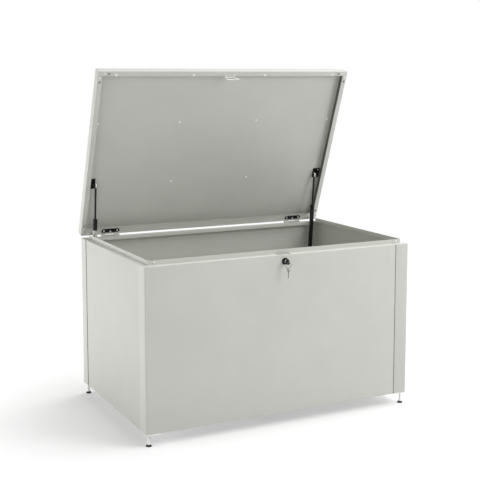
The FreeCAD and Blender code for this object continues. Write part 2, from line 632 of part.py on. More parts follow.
# Hinges: knuckles on the hinge line, one leaf under the lid's lip and one
# on the outside of the back wall
knuckle_half = k.knuckle_length / 2
leaf_half = k.leaf_length / 2
notch = k.knuckle_radius + k.knuckle_clear
leaf_grip = k.leaf_thick + k.sheet + k.rivet_tail
lid_leaf_screws = []
wall_leaf_screws = []
lid_screw_holes = []
wall_screw_holes = []
for name, side in SIDES:
    mid = (half_w - k.hinge_in) * side
    leaf_x = (mid - leaf_half, mid + leaf_half)
    centre = (mid - knuckle_half, mid + knuckle_half)
    ends = ((leaf_x[0], centre[0] - k.knuckle_gap), (centre[1] + k.knuckle_gap, leaf_x[1]))
    screws = ((-1, k.leaf_screw_in), (0, k.leaf_screw_mid), (1, k.leaf_screw_in))

    leaf_low = lid_low - k.leaf_thick
    leaf = new_body(f"lid_leaf_{name}_plate")
    pad(leaf, f"lid_leaf_{name}_pad", [[
        (leaf_x[0], -notch), (leaf_x[0], -k.leaf_width, k.leaf_round),
        (leaf_x[1], -k.leaf_width, k.leaf_round), (leaf_x[1], -notch)]], leaf_low, lid_low)
    pieces = [leaf]
    for i, (low, high) in enumerate(ends):
        pieces.append(rod(f"lid_knuckle_{name}_{i}", (low, 0, 0), "+X", k.knuckle_radius, high - low))
        web_y = (-notch - k.leaf_thick, 0)
        pieces.append(box(f"lid_web_{name}_{i}", (low, high), web_y, (leaf_low, lid_low)))
    tools = [drill(f"lid_bore_{name}", (leaf_x[0], 0, 0), "+X", k.pin_radius + k.run_fit, k.leaf_length)]
    for step, reach in screws:
        tag = f"{name}_{step + 1}"
        at = (mid + k.leaf_screw_step * step, -reach, leaf_low)
        lid_leaf_screws.append(fastener(f"lid_leaf_screw_{tag}", at, "+Z", k.screw_head,
                                        k.screw_head_rise, k.screw_radius, leaf_grip))
        tools.append(drill(f"lid_leaf_hole_{tag}", at, "+Z", screw_hole, k.leaf_thick))
        lid_screw_holes.append(drill(f"lip_hinge_hole_{tag}", (at[0], at[1], lid_low), "+Z",
                                     screw_hole, k.sheet))
    solid = fuse(f"lid_leaf_{name}_solid", pieces)
    finish(on_lid(cut(f"lid_leaf_{name}", solid, tools)), f"hinge_lid_leaf_{name}")

    wall_y = (half_d, half_d + k.leaf_thick)
    pieces = [
        rod(f"wall_knuckle_{name}", (centre[0], axis_y, axis_z), "+X", k.knuckle_radius, k.knuckle_length),
        box(f"wall_web_{name}", centre, wall_y, (axis_z - notch - k.leaf_thick, axis_z)),
        box(f"wall_plate_{name}", leaf_x, wall_y, (axis_z - k.leaf_width, axis_z - notch))]
    tools = [drill(f"wall_bore_{name}", (leaf_x[0], axis_y, axis_z), "+X", k.pin_radius, k.leaf_length)]
    for step, reach in screws:
        tag = f"{name}_{step + 1}"
        at = (mid + k.leaf_screw_step * step, half_d + k.leaf_thick, axis_z - reach)
        wall_leaf_screws.append(fastener(f"wall_leaf_screw_{tag}", at, "-Y", k.screw_head,
                                         k.screw_head_rise, k.screw_radius, leaf_grip))
        tools.append(drill(f"wall_leaf_hole_{tag}", at, "-Y", screw_hole, k.leaf_thick))
        wall_screw_holes.append(drill(f"wall_hinge_hole_{tag}", (at[0], half_d, at[2]), "-Y",
                                      screw_hole, k.sheet))
    solid = fuse(f"wall_leaf_{name}_solid", pieces)
    finish(cut(f"wall_leaf_{name}", solid, tools), f"hinge_wall_leaf_{name}")

    pin_from = leaf_x[0] - k.knuckle_gap - k.pin_head
    pin_to = leaf_x[1] + k.knuckle_gap + k.pin_head
    finish(fuse(f"hinge_pin_{name}", [
        rod(f"pin_{name}_shaft", (pin_from, axis_y, axis_z), "+X", k.pin_radius, pin_to - pin_from),
        rod(f"pin_{name}_head_a", (pin_from, axis_y, axis_z), "+X", k.pin_head_radius, k.pin_head),
        rod(f"pin_{name}_head_b", (pin_to, axis_y, axis_z), "-X", k.pin_head_radius, k.pin_head)]),
        f"hinge_pin_{name}")
finish(on_lid(group("lid_leaf_screws", lid_leaf_screws)), "hinge_screws_lid")
finish(group("wall_leaf_screws", wall_leaf_screws), "hinge_screws_wall")

# Gas struts: both pivots lie at one distance from the hinge line, so a
# strut always turns by half of the lid's angle
lid_pivot = (-k.strut_arm * cos(k.strut_lid_angle), k.strut_arm * sin(k.strut_lid_angle))
wall_pivot = (axis_y - k.strut_arm * cos(k.strut_wall_angle),
              axis_z - k.strut_arm * sin(k.strut_wall_angle))
open_lid_angle = k.strut_lid_angle + k.open_angle
open_pivot = (axis_y - k.strut_arm * cos(open_lid_angle), axis_z + k.strut_arm * sin(open_lid_angle))
strut_lean = (k.strut_wall_angle - open_lid_angle) / 2
eye_half = k.eye_width / 2
collar = (k.ear_in + k.ear_thick, k.strut_in - eye_half - k.eye_gap)
pin_end = k.strut_in + eye_half + k.eye_gap
lid_bracket_rivets = []
wall_bracket_rivets = []
lid_bracket_holes = []
wall_bracket_holes = []
rivet_grip = k.base_thick + k.sheet + k.rivet_tail
for name, side in SIDES:
    into = inward(side)
    ear = between(side, k.ear_in, k.ear_in + k.ear_thick)
    eye = between(side, k.strut_in - eye_half, k.strut_in + eye_half)
    start = (half_w - k.ear_in - k.ear_thick) * side

    def pivot(tag, y, z):
        """Pin, collar and cap of one bracket."""
        cap_x = (half_w - pin_end) * side
        return [rod(f"{tag}_pin", (start, y, z), into, k.bolt_radius, pin_end - k.ear_in - k.ear_thick),
                rod(f"{tag}_collar", (start, y, z), into, k.bolt_cap, collar[1] - collar[0]),
                rod(f"{tag}_cap", (cap_x, y, z), into, k.bolt_cap, k.bolt_cap_thick)]

    lid_base_low = panel_in - k.base_thick
    base_y = (lid_pivot[0] - k.lid_base_length / 2, lid_pivot[0] + k.lid_base_length / 2)
    base_x = between(side, k.ear_in + k.ear_thick - k.lid_base_width, k.ear_in + k.ear_thick)
    base = box(f"lid_base_{name}", base_x, base_y, (lid_base_low, panel_in))
    plate = box(f"lid_ear_{name}", ear, (lid_pivot[0] - k.ear_margin, lid_pivot[0] + k.ear_margin),
                (lid_pivot[1] - k.ear_margin, panel_in))
    tools = []
    rivet_x = (half_w - k.ear_in - k.ear_thick + k.lid_base_width / 2) * side
    for step in (-1, 1):
        tag = f"{name}_{step + 1}"
        at = (rivet_x, lid_pivot[0] + k.bracket_rivet * step, lid_base_low)
        lid_bracket_rivets.append(fastener(f"lid_base_rivet_{tag}", at, "+Z", k.rivet_head,
                                           k.rivet_head_rise, k.rivet_radius, k.base_thick + k.sheet))
        tools.append(drill(f"lid_base_hole_{tag}", at, "+Z", rivet_hole, k.base_thick))
        lid_bracket_holes.append(drill(f"panel_base_hole_{tag}", (at[0], at[1], panel_in), "+Z",
                                       rivet_hole, k.sheet))
    solid = fuse(f"lid_bracket_{name}_solid", [base, plate] + pivot(f"lid_bracket_{name}", *lid_pivot))
    finish(on_lid(cut(f"lid_bracket_{name}", solid, tools)), f"strut_lid_bracket_{name}")

    wall_in = half_d - k.sheet
    base_x = between(side, k.ear_in + k.ear_thick - k.wall_base_width, k.ear_in + k.ear_thick)
    base = box(f"wall_base_{name}", base_x, (wall_in - k.base_thick, wall_in),
               (wall_pivot[1] - k.wall_base_height / 2, wall_pivot[1] + k.wall_base_height / 2))
    plate = box(f"wall_ear_{name}", ear, (wall_pivot[0] - k.ear_margin, wall_in),
                (wall_pivot[1] - k.ear_margin, wall_pivot[1] + k.ear_margin))
    tools = []
    rivet_x = (half_w - k.ear_in - k.ear_thick + k.wall_base_width / 2) * side
    for step in (-1, 1):
        tag = f"{name}_{step + 1}"
        at = (rivet_x, wall_in - k.base_thick, wall_pivot[1] + k.bracket_rivet * step)
        wall_bracket_rivets.append(fastener(f"wall_base_rivet_{tag}", at, "+Y", k.rivet_head,
                                            k.rivet_head_rise, k.rivet_radius, rivet_grip))
        tools.append(drill(f"wall_base_hole_{tag}", at, "+Y", rivet_hole, k.base_thick))
        wall_bracket_holes.append(drill(f"wall_bracket_hole_{tag}", (at[0], wall_in, at[2]), "+Y",
                                        rivet_hole, k.sheet))
    solid = fuse(f"wall_bracket_{name}_solid", [base, plate] + pivot(f"wall_bracket_{name}", *wall_pivot))
    finish(cut(f"wall_bracket_{name}", solid, tools), f"strut_wall_bracket_{name}")

    axis_x = (half_w - k.strut_in) * side
    eye_x = (half_w - k.strut_in + eye_half) * side
    bore_x = (half_w - k.strut_in + k.eye_width) * side
    barrel = fuse(f"barrel_{name}_solid", [
        rod(f"barrel_{name}_tube", (axis_x, 0, k.eye_reach), "+Z", k.barrel_radius,
            barrel_top - k.eye_reach),
        rod(f"barrel_{name}_neck", (axis_x, 0, 0), "+Z", k.barrel_neck, k.eye_reach + k.barrel_cap / 2),
        rod(f"barrel_{name}_eye", (eye_x, 0, 0), into, k.eye_radius, k.eye_width)])
    hollow = k.eye_reach + k.barrel_cap
    finish(turned(cut(f"barrel_{name}", barrel, [
        rod(f"barrel_{name}_hollow", (axis_x, 0, hollow), "+Z", k.barrel_radius - k.barrel_wall,
            barrel_top - k.barrel_cap - hollow),
        rod(f"barrel_{name}_mouth", (axis_x, 0, hollow), "+Z", k.rod_radius + k.run_fit, barrel_top),
        rod(f"barrel_{name}_bore", (bore_x, 0, 0), into, k.bolt_radius + k.run_fit, k.eye_width * 2)]),
        *wall_pivot, strut_lean), f"strut_barrel_{name}")

    piston_low = strut_open - barrel_top + k.barrel_cap + k.piston_gap
    rod_top = (k.eye_flat + k.eye_reach) / 2
    shaft = fuse(f"shaft_{name}_solid", [
        rod(f"shaft_{name}_rod", (axis_x, 0, -rod_top), "-Z", k.rod_radius,
            piston_low + k.piston_thick / 2 - rod_top),
        rod(f"shaft_{name}_neck", (axis_x, 0, 0), "-Z", k.eye_neck, k.eye_reach),
        rod(f"shaft_{name}_piston", (axis_x, 0, -piston_low), "-Z",
            k.barrel_radius - k.barrel_wall - k.piston_clear, k.piston_thick),
        rod(f"shaft_{name}_eye", (eye_x, 0, 0), into, k.eye_radius, k.eye_width)])
    side_cut = [rod(f"shaft_{name}_bore", (bore_x, 0, 0), into, k.bolt_radius + k.run_fit, k.eye_width * 2)]
    for tag, flat in (("near", between(side, k.strut_in - k.eye_width * 2, k.strut_in - eye_half)),
                      ("far", between(side, k.strut_in + eye_half, k.strut_in + k.eye_width * 2))):
        side_cut.append(box(f"shaft_{name}_{tag}", flat, (-k.eye_radius, k.eye_radius),
                            (-k.eye_flat, k.eye_radius)))
    finish(turned(cut(f"shaft_{name}", shaft, side_cut), *open_pivot, strut_lean), f"strut_rod_{name}")
finish(on_lid(group("lid_bracket_rivets", lid_bracket_rivets)), "strut_rivets_lid")
finish(group("wall_bracket_rivets", wall_bracket_rivets), "strut_rivets_wall")

# Lock in the front wall: housing, nut, turning plug with its cam
rosette_y = front_y - k.rosette_thick
plug_y = rosette_y - k.plug_proud
lock_end = front_y + k.lock_depth
cam_y = lock_end + k.cam_gap
housing = fuse("lock_housing_solid", [
    cone("rosette", (0, front_y, lock_z), "-Y", k.rosette_radius, k.rosette_radius - k.rosette_thick / 2,
         k.rosette_thick),
    rod("lock_barrel", (0, front_y, lock_z), "+Y", k.lock_radius, k.lock_depth)])
finish(cut("lock_housing", housing, [
    drill("lock_bore", (0, rosette_y, lock_z), "+Y", k.plug_radius + k.run_fit,
          k.rosette_thick + k.lock_depth)]), "lock_housing")
nut_at = (0, front_y + k.sheet, lock_z)
finish(cut("lock_nut", rod("lock_nut_ring", nut_at, "+Y", k.lock_nut_radius, k.lock_nut_thick), [
    drill("lock_nut_hole", nut_at, "+Y", k.lock_radius + k.hole_fit, k.lock_nut_thick)]), "lock_nut")
slot_half = k.key_thick / 2 + k.key_fit
slot_tall = k.key_width / 2 + k.key_fit
plug_length = k.plug_proud + k.rosette_thick + k.lock_depth + k.cam_gap
finish(cut("lock_plug", rod("plug_round", (0, plug_y, lock_z), "+Y", k.plug_radius, plug_length), [
    box("plug_slot", (-slot_half, slot_half), (plug_y - k.sheet, plug_y + k.key_inside + k.key_end),
        (lock_z - slot_tall, lock_z + slot_tall))]), "lock_plug")
cam = fuse("lock_cam_solid", [
    rod("cam_hub", (0, cam_y, lock_z), "+Y", k.cam_half, k.cam_thick),
    box("cam_arm", (-k.cam_half, k.cam_half), (cam_y, cam_y + k.cam_thick),
        (lock_z - k.cam_reach, lock_z))])
finish(cut("lock_cam", cam, [
    drill("cam_hole", (0, cam_y, lock_z), "+Y", rivet_hole, k.cam_thick)]), "lock_cam")
finish(fastener("cam_screw", (0, cam_y + k.cam_thick, lock_z), "-Y", k.cam_nut_radius, k.cam_nut_thick,
                k.rivet_radius, k.cam_thick), "lock_cam_screw")

# Key in the lock, ring through its bow and the spare key hanging on it
bow_y = plug_y - k.key_neck - k.bow_radius
hole_y = bow_y - k.bow_hole_out
key_x = (-k.key_thick / 2, k.key_thick / 2)
key = fuse("key_solid", [
    box("key_blade", key_x, (bow_y, plug_y + k.key_inside),
        (lock_z - k.key_width / 2, lock_z + k.key_width / 2)),
    rod("key_bow", (key_x[0], bow_y, lock_z), "+X", k.bow_radius, k.key_thick)])
finish(cut("key", key, [
    drill("key_hole", (key_x[0], hole_y, lock_z), "+X", k.bow_hole, k.key_thick)]), "key")
ring_top = lock_z - k.bow_hole + k.ring_wire + k.ring_clear
ring_z = ring_top - k.ring_radius
ring = doc.addObject("Part::Torus", "key_ring")
ring.Placement = FreeCAD.Placement(FreeCAD.Vector(), TURN["+Y"])
bind(ring, "Radius1", k.ring_radius)
bind(ring, "Radius2", k.ring_wire)
place(ring, 0, hole_y, ring_z)
finish(ring, "key_ring")
spare_hole_z = ring_z - k.ring_radius - k.bow_hole + k.ring_wire + k.ring_clear
spare_z = spare_hole_z - k.spare_hole_up
spare = fuse("spare_solid", [
    rod("spare_bow_disc", (key_x[0], hole_y, spare_z), "+X", k.spare_bow, k.key_thick),
    box("spare_shank", key_x, (hole_y - k.key_width / 2, hole_y + k.key_width / 2),
        (spare_z - k.spare_bow - k.spare_blade, spare_z))])
finish(cut("spare_key", spare, [
    drill("spare_hole", (key_x[0], hole_y, spare_hole_z), "+X", k.bow_hole, k.key_thick)]), "spare_key")

# Strike under the lid's front lip: it drops through a slot in the ledge and
# its hook stops under the turned cam
strike_in = k.axis_out + k.body_depth - k.strike_place
strike_y = (-strike_in, -strike_in + k.strike_thick)
hook_high = -k.axis_rise - k.lock_drop - k.cam_half - k.cam_clear
hook_low = hook_high - k.strike_thick
strike_half = k.strike_width / 2
strike = fuse("strike_solid", [
    box("strike_web", (-strike_half, strike_half), strike_y, (hook_low, lid_low)),
    box("strike_flange", (-strike_half, strike_half),
        (strike_y[1] - k.strike_thick - k.strike_base, strike_y[1]), (lid_low - k.strike_thick, lid_low)),
    box("strike_hook", (k.strike_foot_from, k.strike_foot_from + k.strike_foot_width),
        (strike_y[0] - k.strike_foot, strike_y[1]), (hook_low, hook_high))])
strike_screws = []
strike_tools = []
strike_holes = []
strike_line = strike_y[0] - k.strike_base / 2 - k.strike_thick
for step in (-1, 1):
    at = (k.strike_screw * step, strike_line, lid_low - k.strike_thick)
    strike_screws.append(fastener(f"strike_screw_{step + 1}", at, "+Z", k.screw_head, k.screw_head_rise,
                                  k.screw_radius, k.strike_thick + k.sheet + k.rivet_tail))
    strike_tools.append(drill(f"strike_hole_{step + 1}", at, "+Z", screw_hole, k.strike_thick))
    strike_holes.append(drill(f"lip_strike_hole_{step + 1}", (at[0], at[1], lid_low), "+Z",
                              screw_hole, k.sheet))
finish(on_lid(cut("strike", strike, strike_tools)), "strike_plate")
finish(on_lid(group("strike_screws", strike_screws)), "strike_screws")

# Lid corner plates with their screws and rubber buffers
plate_low = lid_low - k.corner_thick
buffer_low = -k.axis_rise + k.buffer_clear
corner_screws = []
corner_holes = []
buffers = []
for corner, sx, sy in FEET:
    edge_x = lid_half * sx
    edge_y = -lid_front if sy < 0 else -lid_rear

    def from_corner(along_x, along_y):
        x = edge_x + along_x if sx < 0 else edge_x - along_x
        y = edge_y + along_y if sy < 0 else edge_y - along_y
        return x, y

    points = [from_corner(a, b) for a, b in (
        (k.corner_in, k.corner_in), (k.corner_leg, k.corner_in), (k.corner_leg, k.corner_width),
        (k.corner_width, k.corner_width), (k.corner_width, k.corner_leg), (k.corner_in, k.corner_leg))]
    plate = new_body(f"corner_{corner}_plate")
    pad(plate, f"corner_{corner}_pad", [points], plate_low, lid_low)
    tools = []
    for i, (a, b) in enumerate(((k.corner_screw, k.corner_line), (k.corner_line, k.corner_screw))):
        x, y = from_corner(a, b)
        tag = f"{corner}_{i}"
        at = (x, y, plate_low)
        corner_screws.append(fastener(f"corner_screw_{tag}", at, "+Z", k.screw_head, k.screw_head_rise,
                                      k.screw_radius, k.corner_thick + k.sheet + k.rivet_tail))
        tools.append(drill(f"corner_hole_{tag}", at, "+Z", screw_hole, k.corner_thick))
        corner_holes.append(drill(f"lip_corner_hole_{tag}", (x, y, lid_low), "+Z", screw_hole, k.sheet))
    for i, (a, b) in enumerate(((k.corner_buffer, k.corner_line), (k.corner_line, k.corner_buffer))):
        x, y = from_corner(a, b)
        buffers.append(rod(f"buffer_{corner}_{i}", (x, y, buffer_low), "+Z", k.buffer_radius,
                           plate_low - buffer_low))
    finish(on_lid(cut(f"corner_{corner}", plate, tools)), f"lid_corner_plate_{corner}")
finish(on_lid(group("corner_screws", corner_screws)), "lid_corner_screws")
finish(on_lid(group("buffers", buffers)), "lid_buffers")

# Rivets through the lid's panel and its front lip
panel_rivets = []
panel_holes = []
rivet_places = []
for row in (k.panel_rivet_front, k.panel_rivet_rear):
    for x in (-lid_half + k.panel_rivet_in, lid_half - k.panel_rivet_in):
        rivet_places.append((x, -row))
for x in (-lid_half + k.panel_rivet_edge, lid_half - k.panel_rivet_edge):
    rivet_places.append((x, -k.panel_rivet_front))
for i, (x, y) in enumerate(rivet_places):
    panel_rivets.append(fastener(f"panel_rivet_{i}", (x, y, panel_in), "+Z", k.rivet_head,
                                 k.rivet_head_rise, k.rivet_radius, k.sheet + k.top_sheet))
    panel_holes.append(drill(f"panel_hole_{i}", (x, y, panel_in), "+Z", rivet_hole, k.sheet))
lip_holes = []
lip_line = -lid_front + k.lid_lip - k.lip_rivet_edge
lip_rivet_x = (-lid_half + k.lip_rivet_outer, -lid_half + k.lip_rivet_inner,
               lid_half - k.lip_rivet_inner, lid_half - k.lip_rivet_outer)
for i, x in enumerate(lip_rivet_x):
    panel_rivets.append(fastener(f"lip_rivet_{i}", (x, lip_line, lid_low), "+Z", k.rivet_head,
                                 k.rivet_head_rise, k.rivet_radius, k.sheet + k.rivet_tail))
    lip_holes.append(drill(f"lip_rivet_hole_{i}", (x, lip_line, lid_low), "+Z", rivet_hole, k.sheet))
finish(on_lid(group("panel_rivets", panel_rivets)), "lid_rivets")

# Lid tray: panel, flanges and inward lips, with a cover sheet over it
tray = new_body("tray")
lid_outer = rectangle((-lid_half, lid_half), (-lid_front, -lid_rear), k.lid_corner)
lid_inner = rectangle((-lid_half + k.sheet, lid_half - k.sheet),
                      (-lid_front + k.sheet, -lid_rear - k.sheet), k.lid_corner - k.sheet)
lip_inner = rectangle((-lid_half + k.lid_lip, lid_half - k.lid_lip),
                      (-lid_front + k.lid_lip, -lid_rear - k.lid_rear_lip))
pad(tray, "tray_flanges", [lid_outer, lid_inner], lid_low, lid_high)
pad(tray, "tray_panel", [lid_outer], panel_in, lid_high)
pad(tray, "tray_lip", [lid_outer, lip_inner], lid_low, lid_low + k.sheet)
tray_holes = panel_holes + lip_holes + corner_holes + strike_holes + lid_bracket_holes + lid_screw_holes
finish(on_lid(cut("lid_tray", tray, tray_holes)), "lid_tray")
cover = new_body("cover")
pad(cover, "cover_sheet", [rectangle(
    (-lid_half + k.top_sheet_in, lid_half - k.top_sheet_in),
    (-lid_front + k.top_sheet_in, -lid_rear - k.top_sheet_in), k.lid_corner)],
    lid_high, lid_high + k.top_sheet)
cover_holes = [drill(f"cover_hole_{i}", (x, y, lid_high), "+Z", rivet_hole, k.top_sheet)
               for i, (x, y) in enumerate(rivet_places)]
finish(on_lid(cut("lid_cover", cover, cover_holes)), "lid_cover_sheet")

# Holes in the wall sheets: lock, strike slot, feet, rivets and hinges
slot_x = strike_half + k.strike_slot_clear
slot_y = (front_y + k.strike_place - k.strike_foot - k.strike_slot_clear,
          front_y + k.strike_place + k.strike_thick + k.strike_slot_clear)
a_tools = [
    drill("lock_hole", (0, front_y, lock_z), "+Y", k.lock_radius + k.hole_fit, k.sheet),
    box("strike_slot", (-slot_x, slot_x), slot_y, (ledge_z - k.sheet * 2, ledge_z + k.sheet))]
finish(cut("wall_a", sheet_a, a_tools + bush_holes["a"] + rim_holes["a"]), "wall_sheet_front_left")
finish(cut("wall_b", sheet_b, bush_holes["b"] + rim_holes["b"] + wall_screw_holes + wall_bracket_holes),
       "wall_sheet_back_right")

doc.recompute()

# Every object and piece is sound before anything is written
bad = [obj.Name for obj in doc.Objects if "Invalid" in obj.State or "Error" in obj.State]
if bad:
    raise RuntimeError(f"failed objects: {bad}")
for obj in parts:
    shape = obj.Shape
    if shape.isNull() or not shape.isValid() or not shape.Solids:
        raise RuntimeError(f"unsound piece: {obj.Label}")

os.makedirs("parts", exist_ok=True)
for obj in parts:
    obj.Shape.exportStep(f"parts/{obj.Label}.step")
print(len(parts), "pieces written")
print("strut", round(strut_shut.value, 1), "to", round(strut_open.value, 1), "mm")
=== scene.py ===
"""Garden storage box of folded sheet steel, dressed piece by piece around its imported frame."""
import json
import math

import bmesh
import bpy
from bpy.props import FloatProperty, FloatVectorProperty, PointerProperty
from bpy.types import Operator, Panel, PropertyGroup
from mathutils import Matrix, Vector

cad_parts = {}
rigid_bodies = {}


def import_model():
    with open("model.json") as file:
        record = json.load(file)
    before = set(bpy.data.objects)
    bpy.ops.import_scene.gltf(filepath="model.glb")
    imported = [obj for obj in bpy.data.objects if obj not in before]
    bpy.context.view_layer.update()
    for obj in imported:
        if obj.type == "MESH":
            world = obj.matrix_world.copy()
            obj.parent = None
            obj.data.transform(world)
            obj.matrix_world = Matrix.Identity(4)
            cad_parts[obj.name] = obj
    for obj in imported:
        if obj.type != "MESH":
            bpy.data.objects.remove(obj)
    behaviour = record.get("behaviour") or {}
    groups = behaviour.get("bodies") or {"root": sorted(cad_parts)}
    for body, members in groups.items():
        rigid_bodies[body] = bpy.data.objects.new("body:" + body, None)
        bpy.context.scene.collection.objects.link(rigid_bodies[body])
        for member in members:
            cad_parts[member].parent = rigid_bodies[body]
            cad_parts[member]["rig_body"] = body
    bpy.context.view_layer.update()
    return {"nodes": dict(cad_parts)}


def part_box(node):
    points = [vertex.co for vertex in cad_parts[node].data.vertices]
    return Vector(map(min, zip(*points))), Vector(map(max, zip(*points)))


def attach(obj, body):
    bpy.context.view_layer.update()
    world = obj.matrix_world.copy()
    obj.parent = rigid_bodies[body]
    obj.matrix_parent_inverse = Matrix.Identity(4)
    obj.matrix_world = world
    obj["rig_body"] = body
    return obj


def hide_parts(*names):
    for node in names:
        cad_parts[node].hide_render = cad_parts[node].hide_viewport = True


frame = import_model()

bl_info = {
    "name": "Garden storage box",
    "version": (1, 0, 0),
    "blender": (4, 5, 0),
    "location": "View3D > Sidebar > Garden box",
    "description": "Builds a folded sheet-steel storage box with its lid, hinges, struts, lock and feet",
    "category": "Add Mesh",
}

MM = 0.001
SIDES = (("left", -1), ("right", 1))
CORNERS = (("front_left", -1, -1), ("front_right", 1, -1), ("back_left", -1, 1), ("back_right", 1, 1))
UP, DOWN, FORWARD, BACKWARD, RIGHTWARD = (0, 0, 1), (0, 0, -1), (0, -1, 0), (0, 1, 0), (1, 0, 0)
# inwards from each wall, seen from above
FROM_FRONT, FROM_RIGHT, FROM_BACK, FROM_LEFT = (0, 1), (-1, 0), (0, -1), (1, 0)
# edges that turn by less are shaded smooth
SMOOTH_BELOW = math.radians(34)
# faces in a fold, a turned piece and a fastener
BEND_STEPS, ROUND_STEPS, FASTENER_STEPS = 6, 40, 28
WELD = 1e-6
# clearance of a shaft in its hole, screw past the plate that it holds, turn from one fastener to the next
FIT, SCREW_BITE, FASTENER_TURN = 0.05 * MM, 2.2 * MM, 2.4
# heads of fasteners as shares of their radius and height
SCREW_DOME = ((0, 1), (0.45, 0.96), (0.75, 0.82), (0.93, 0.55), (1, 0.22), (1, 0))
MANDREL_DOME = ((0, 0.62), (0.2, 0.6), (0.24, 0.5), (0.3, 0.94), (0.36, 1), (0.6, 0.9), (0.85, 0.58),
                (0.98, 0.2), (1, 0))
CAP_DOME = ((0, 1), (0.25, 0.98), (0.5, 0.9), (0.72, 0.74), (0.88, 0.5), (0.97, 0.24), (1, 0))


def srgb(*levels):
    """Linear colour of 8-bit display levels."""
    shares = [level / 255 for level in levels]
    return tuple(s / 12.92 if s <= 0.04045 else ((s + 0.055) / 1.055) ** 2.4 for s in shares)


def length(label, note, millimetres):
    """A size, given in millimetres."""
    return FloatProperty(name=label, description=note, default=millimetres * MM, unit="LENGTH", precision=5)


def angle(label, note, degrees):
    """An angle, given in degrees."""
    return FloatProperty(name=label, description=note, default=math.radians(degrees), unit="ROTATION")


def share(label, note, value):
    """A part of one."""
    return FloatProperty(name=label, description=note, default=value, min=0.0, max=1.0, subtype="FACTOR")


def colour(label, note, levels):
    """A colour, given in 8-bit display levels."""
    return FloatVectorProperty(name=label, description=note, default=srgb(*levels), size=3,
                               subtype="COLOR", min=0.0, max=1.0)


def strength(label, note, value):
    """The level of a light."""
    return FloatProperty(name=label, description=note, default=value, min=0.0)


wall_low, wall_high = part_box("wall_sheet_back_right")
pad_low, pad_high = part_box("foot_pad_front_left")
hinge_low, hinge_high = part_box("hinge_pin_left")
lock_low, lock_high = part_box("lock_nut")


class WallSizes(PropertyGroup):
    """Wall sheets, ledge and rain rim, floor and rail."""
    width: length("Width", "Outside width across the side walls", (wall_high.x - wall_low.x) / MM)
    depth: length("Depth", "Outside depth across front and back", (wall_high.y - wall_low.y) / MM)
    base: length("Bottom edge", "Bottom edge of the walls above the ground", wall_low.z / MM)
    rim_rise: length("Rim height", "Rain rim above the ledge", 20.0)
    top: length("Rim top", "Top of the rain rim above the ground", wall_high.z / MM)
    sheet: length("Sheet", "Thickness of the wall and lid sheet", 1.0)
    corner: length("Corner bend", "Outside radius of the upright bends", 6.0)
    fold: length("Fold", "Radius of the small folds along the sheet's middle", 1.7)
    ledge: length("Ledge", "Outer face to the outside of the rain rim", 28.0)
    back_ledge: length("Back ledge", "Width of the ledge along the back", 30.0)
    back_turn: length("Back turn-down", "Turned-down edge of the back ledge", 16.0)
    flange: length("Bottom flange", "Bottom flange turned inwards", 34.0)
    strip: length("Strip", "Strip of the rear sheet on the front and left faces", 70.0)
    seam: length("Front seam", "Joint between the two wall sheets at the front", 2.8)
    side_seam: length("Left seam", "Joint between the two wall sheets on the left", 9.0)
    # the dark strips in the joints, near the outer faces, are painted shade standing in for the shadow in
    # the gaps
    dark_strip_in: length("Seal depth", "Joint seal behind the outer faces", 0.35)
    seam_ease: length("Seam edge round", "Round on the sheet edges at the seams", 0.5)
    rim_end: length("Rim end", "End of the side rims from the back wall", 43.0)
    floor_in: length("Floor clearance", "Floor panel edge from the outer faces", 5.0)
    floor_notch: length("Floor notch", "Corner cut out of the floor panel at a foot", 40.0)
    rail_width: length("Rail width", "Width of the rail under the floor", 60.0)
    rail_height: length("Rail height", "Height of the rail under the floor", 22.0)
    rail_taper: length("Rail taper", "Sloped end of the rail's legs", 40.0)


class LidSizes(PropertyGroup):
    """Lid pan, its lips and corner plates, measured about the hinge line."""
    hinge_y: length("Hinge line depth", "Hinge line behind the middle",
                    (hinge_low.y + hinge_high.y) / 2 / MM)
    hinge_z: length("Hinge line height", "Hinge line above the ground",
                    (hinge_low.z + hinge_high.z) / 2 / MM)
    open: angle("Open angle", "Lid angle from shut", 69.0)
    half: length("Half width", "Middle to the lid's side", 676.0)
    rear: length("Rear edge", "Rear edge from the hinge line", 4.0)
    front: length("Front edge", "Front edge from the hinge line", 872.0)
    low: length("Lip underside", "Underside of the lip above the hinge line", 4.0)
    high: length("Panel top", "Top of the panel above the hinge line", 44.0)
    corner: length("Corner", "Upright corner radius", 3.0)
    lip: length("Lip", "Inward lip at front and sides", 24.0)
    rear_lip: length("Rear lip", "Inward lip at the back", 39.0)
    cover: length("Cover sheet", "Thickness of the cover sheet", 0.6)
    cover_in: length("Cover inset", "Cover sheet from the lid's edge", 2.5)
    plate_leg: length("Corner plate leg", "Leg of a corner plate", 66.0)
    plate_width: length("Corner plate width", "Leg width of a corner plate", 21.0)
    plate_thick: length("Corner plate", "Thickness of a corner plate", 1.5)
    plate_in: length("Corner plate inset", "Corner plate from the lid's edge", 1.5)
    plate_screw: length("Corner screw", "Corner screws from the corner", 34.0)
    plate_buffer: length("Buffer place", "Buffers from the corner", 54.0)
    plate_line: length("Corner screw line", "Corner screws and buffers from the edge", 12.0)
    buffer: length("Buffer radius", "Rubber buffer radius", 5.0)
    buffer_low: length("Buffer end", "Buffer end below the hinge line", 1.7)


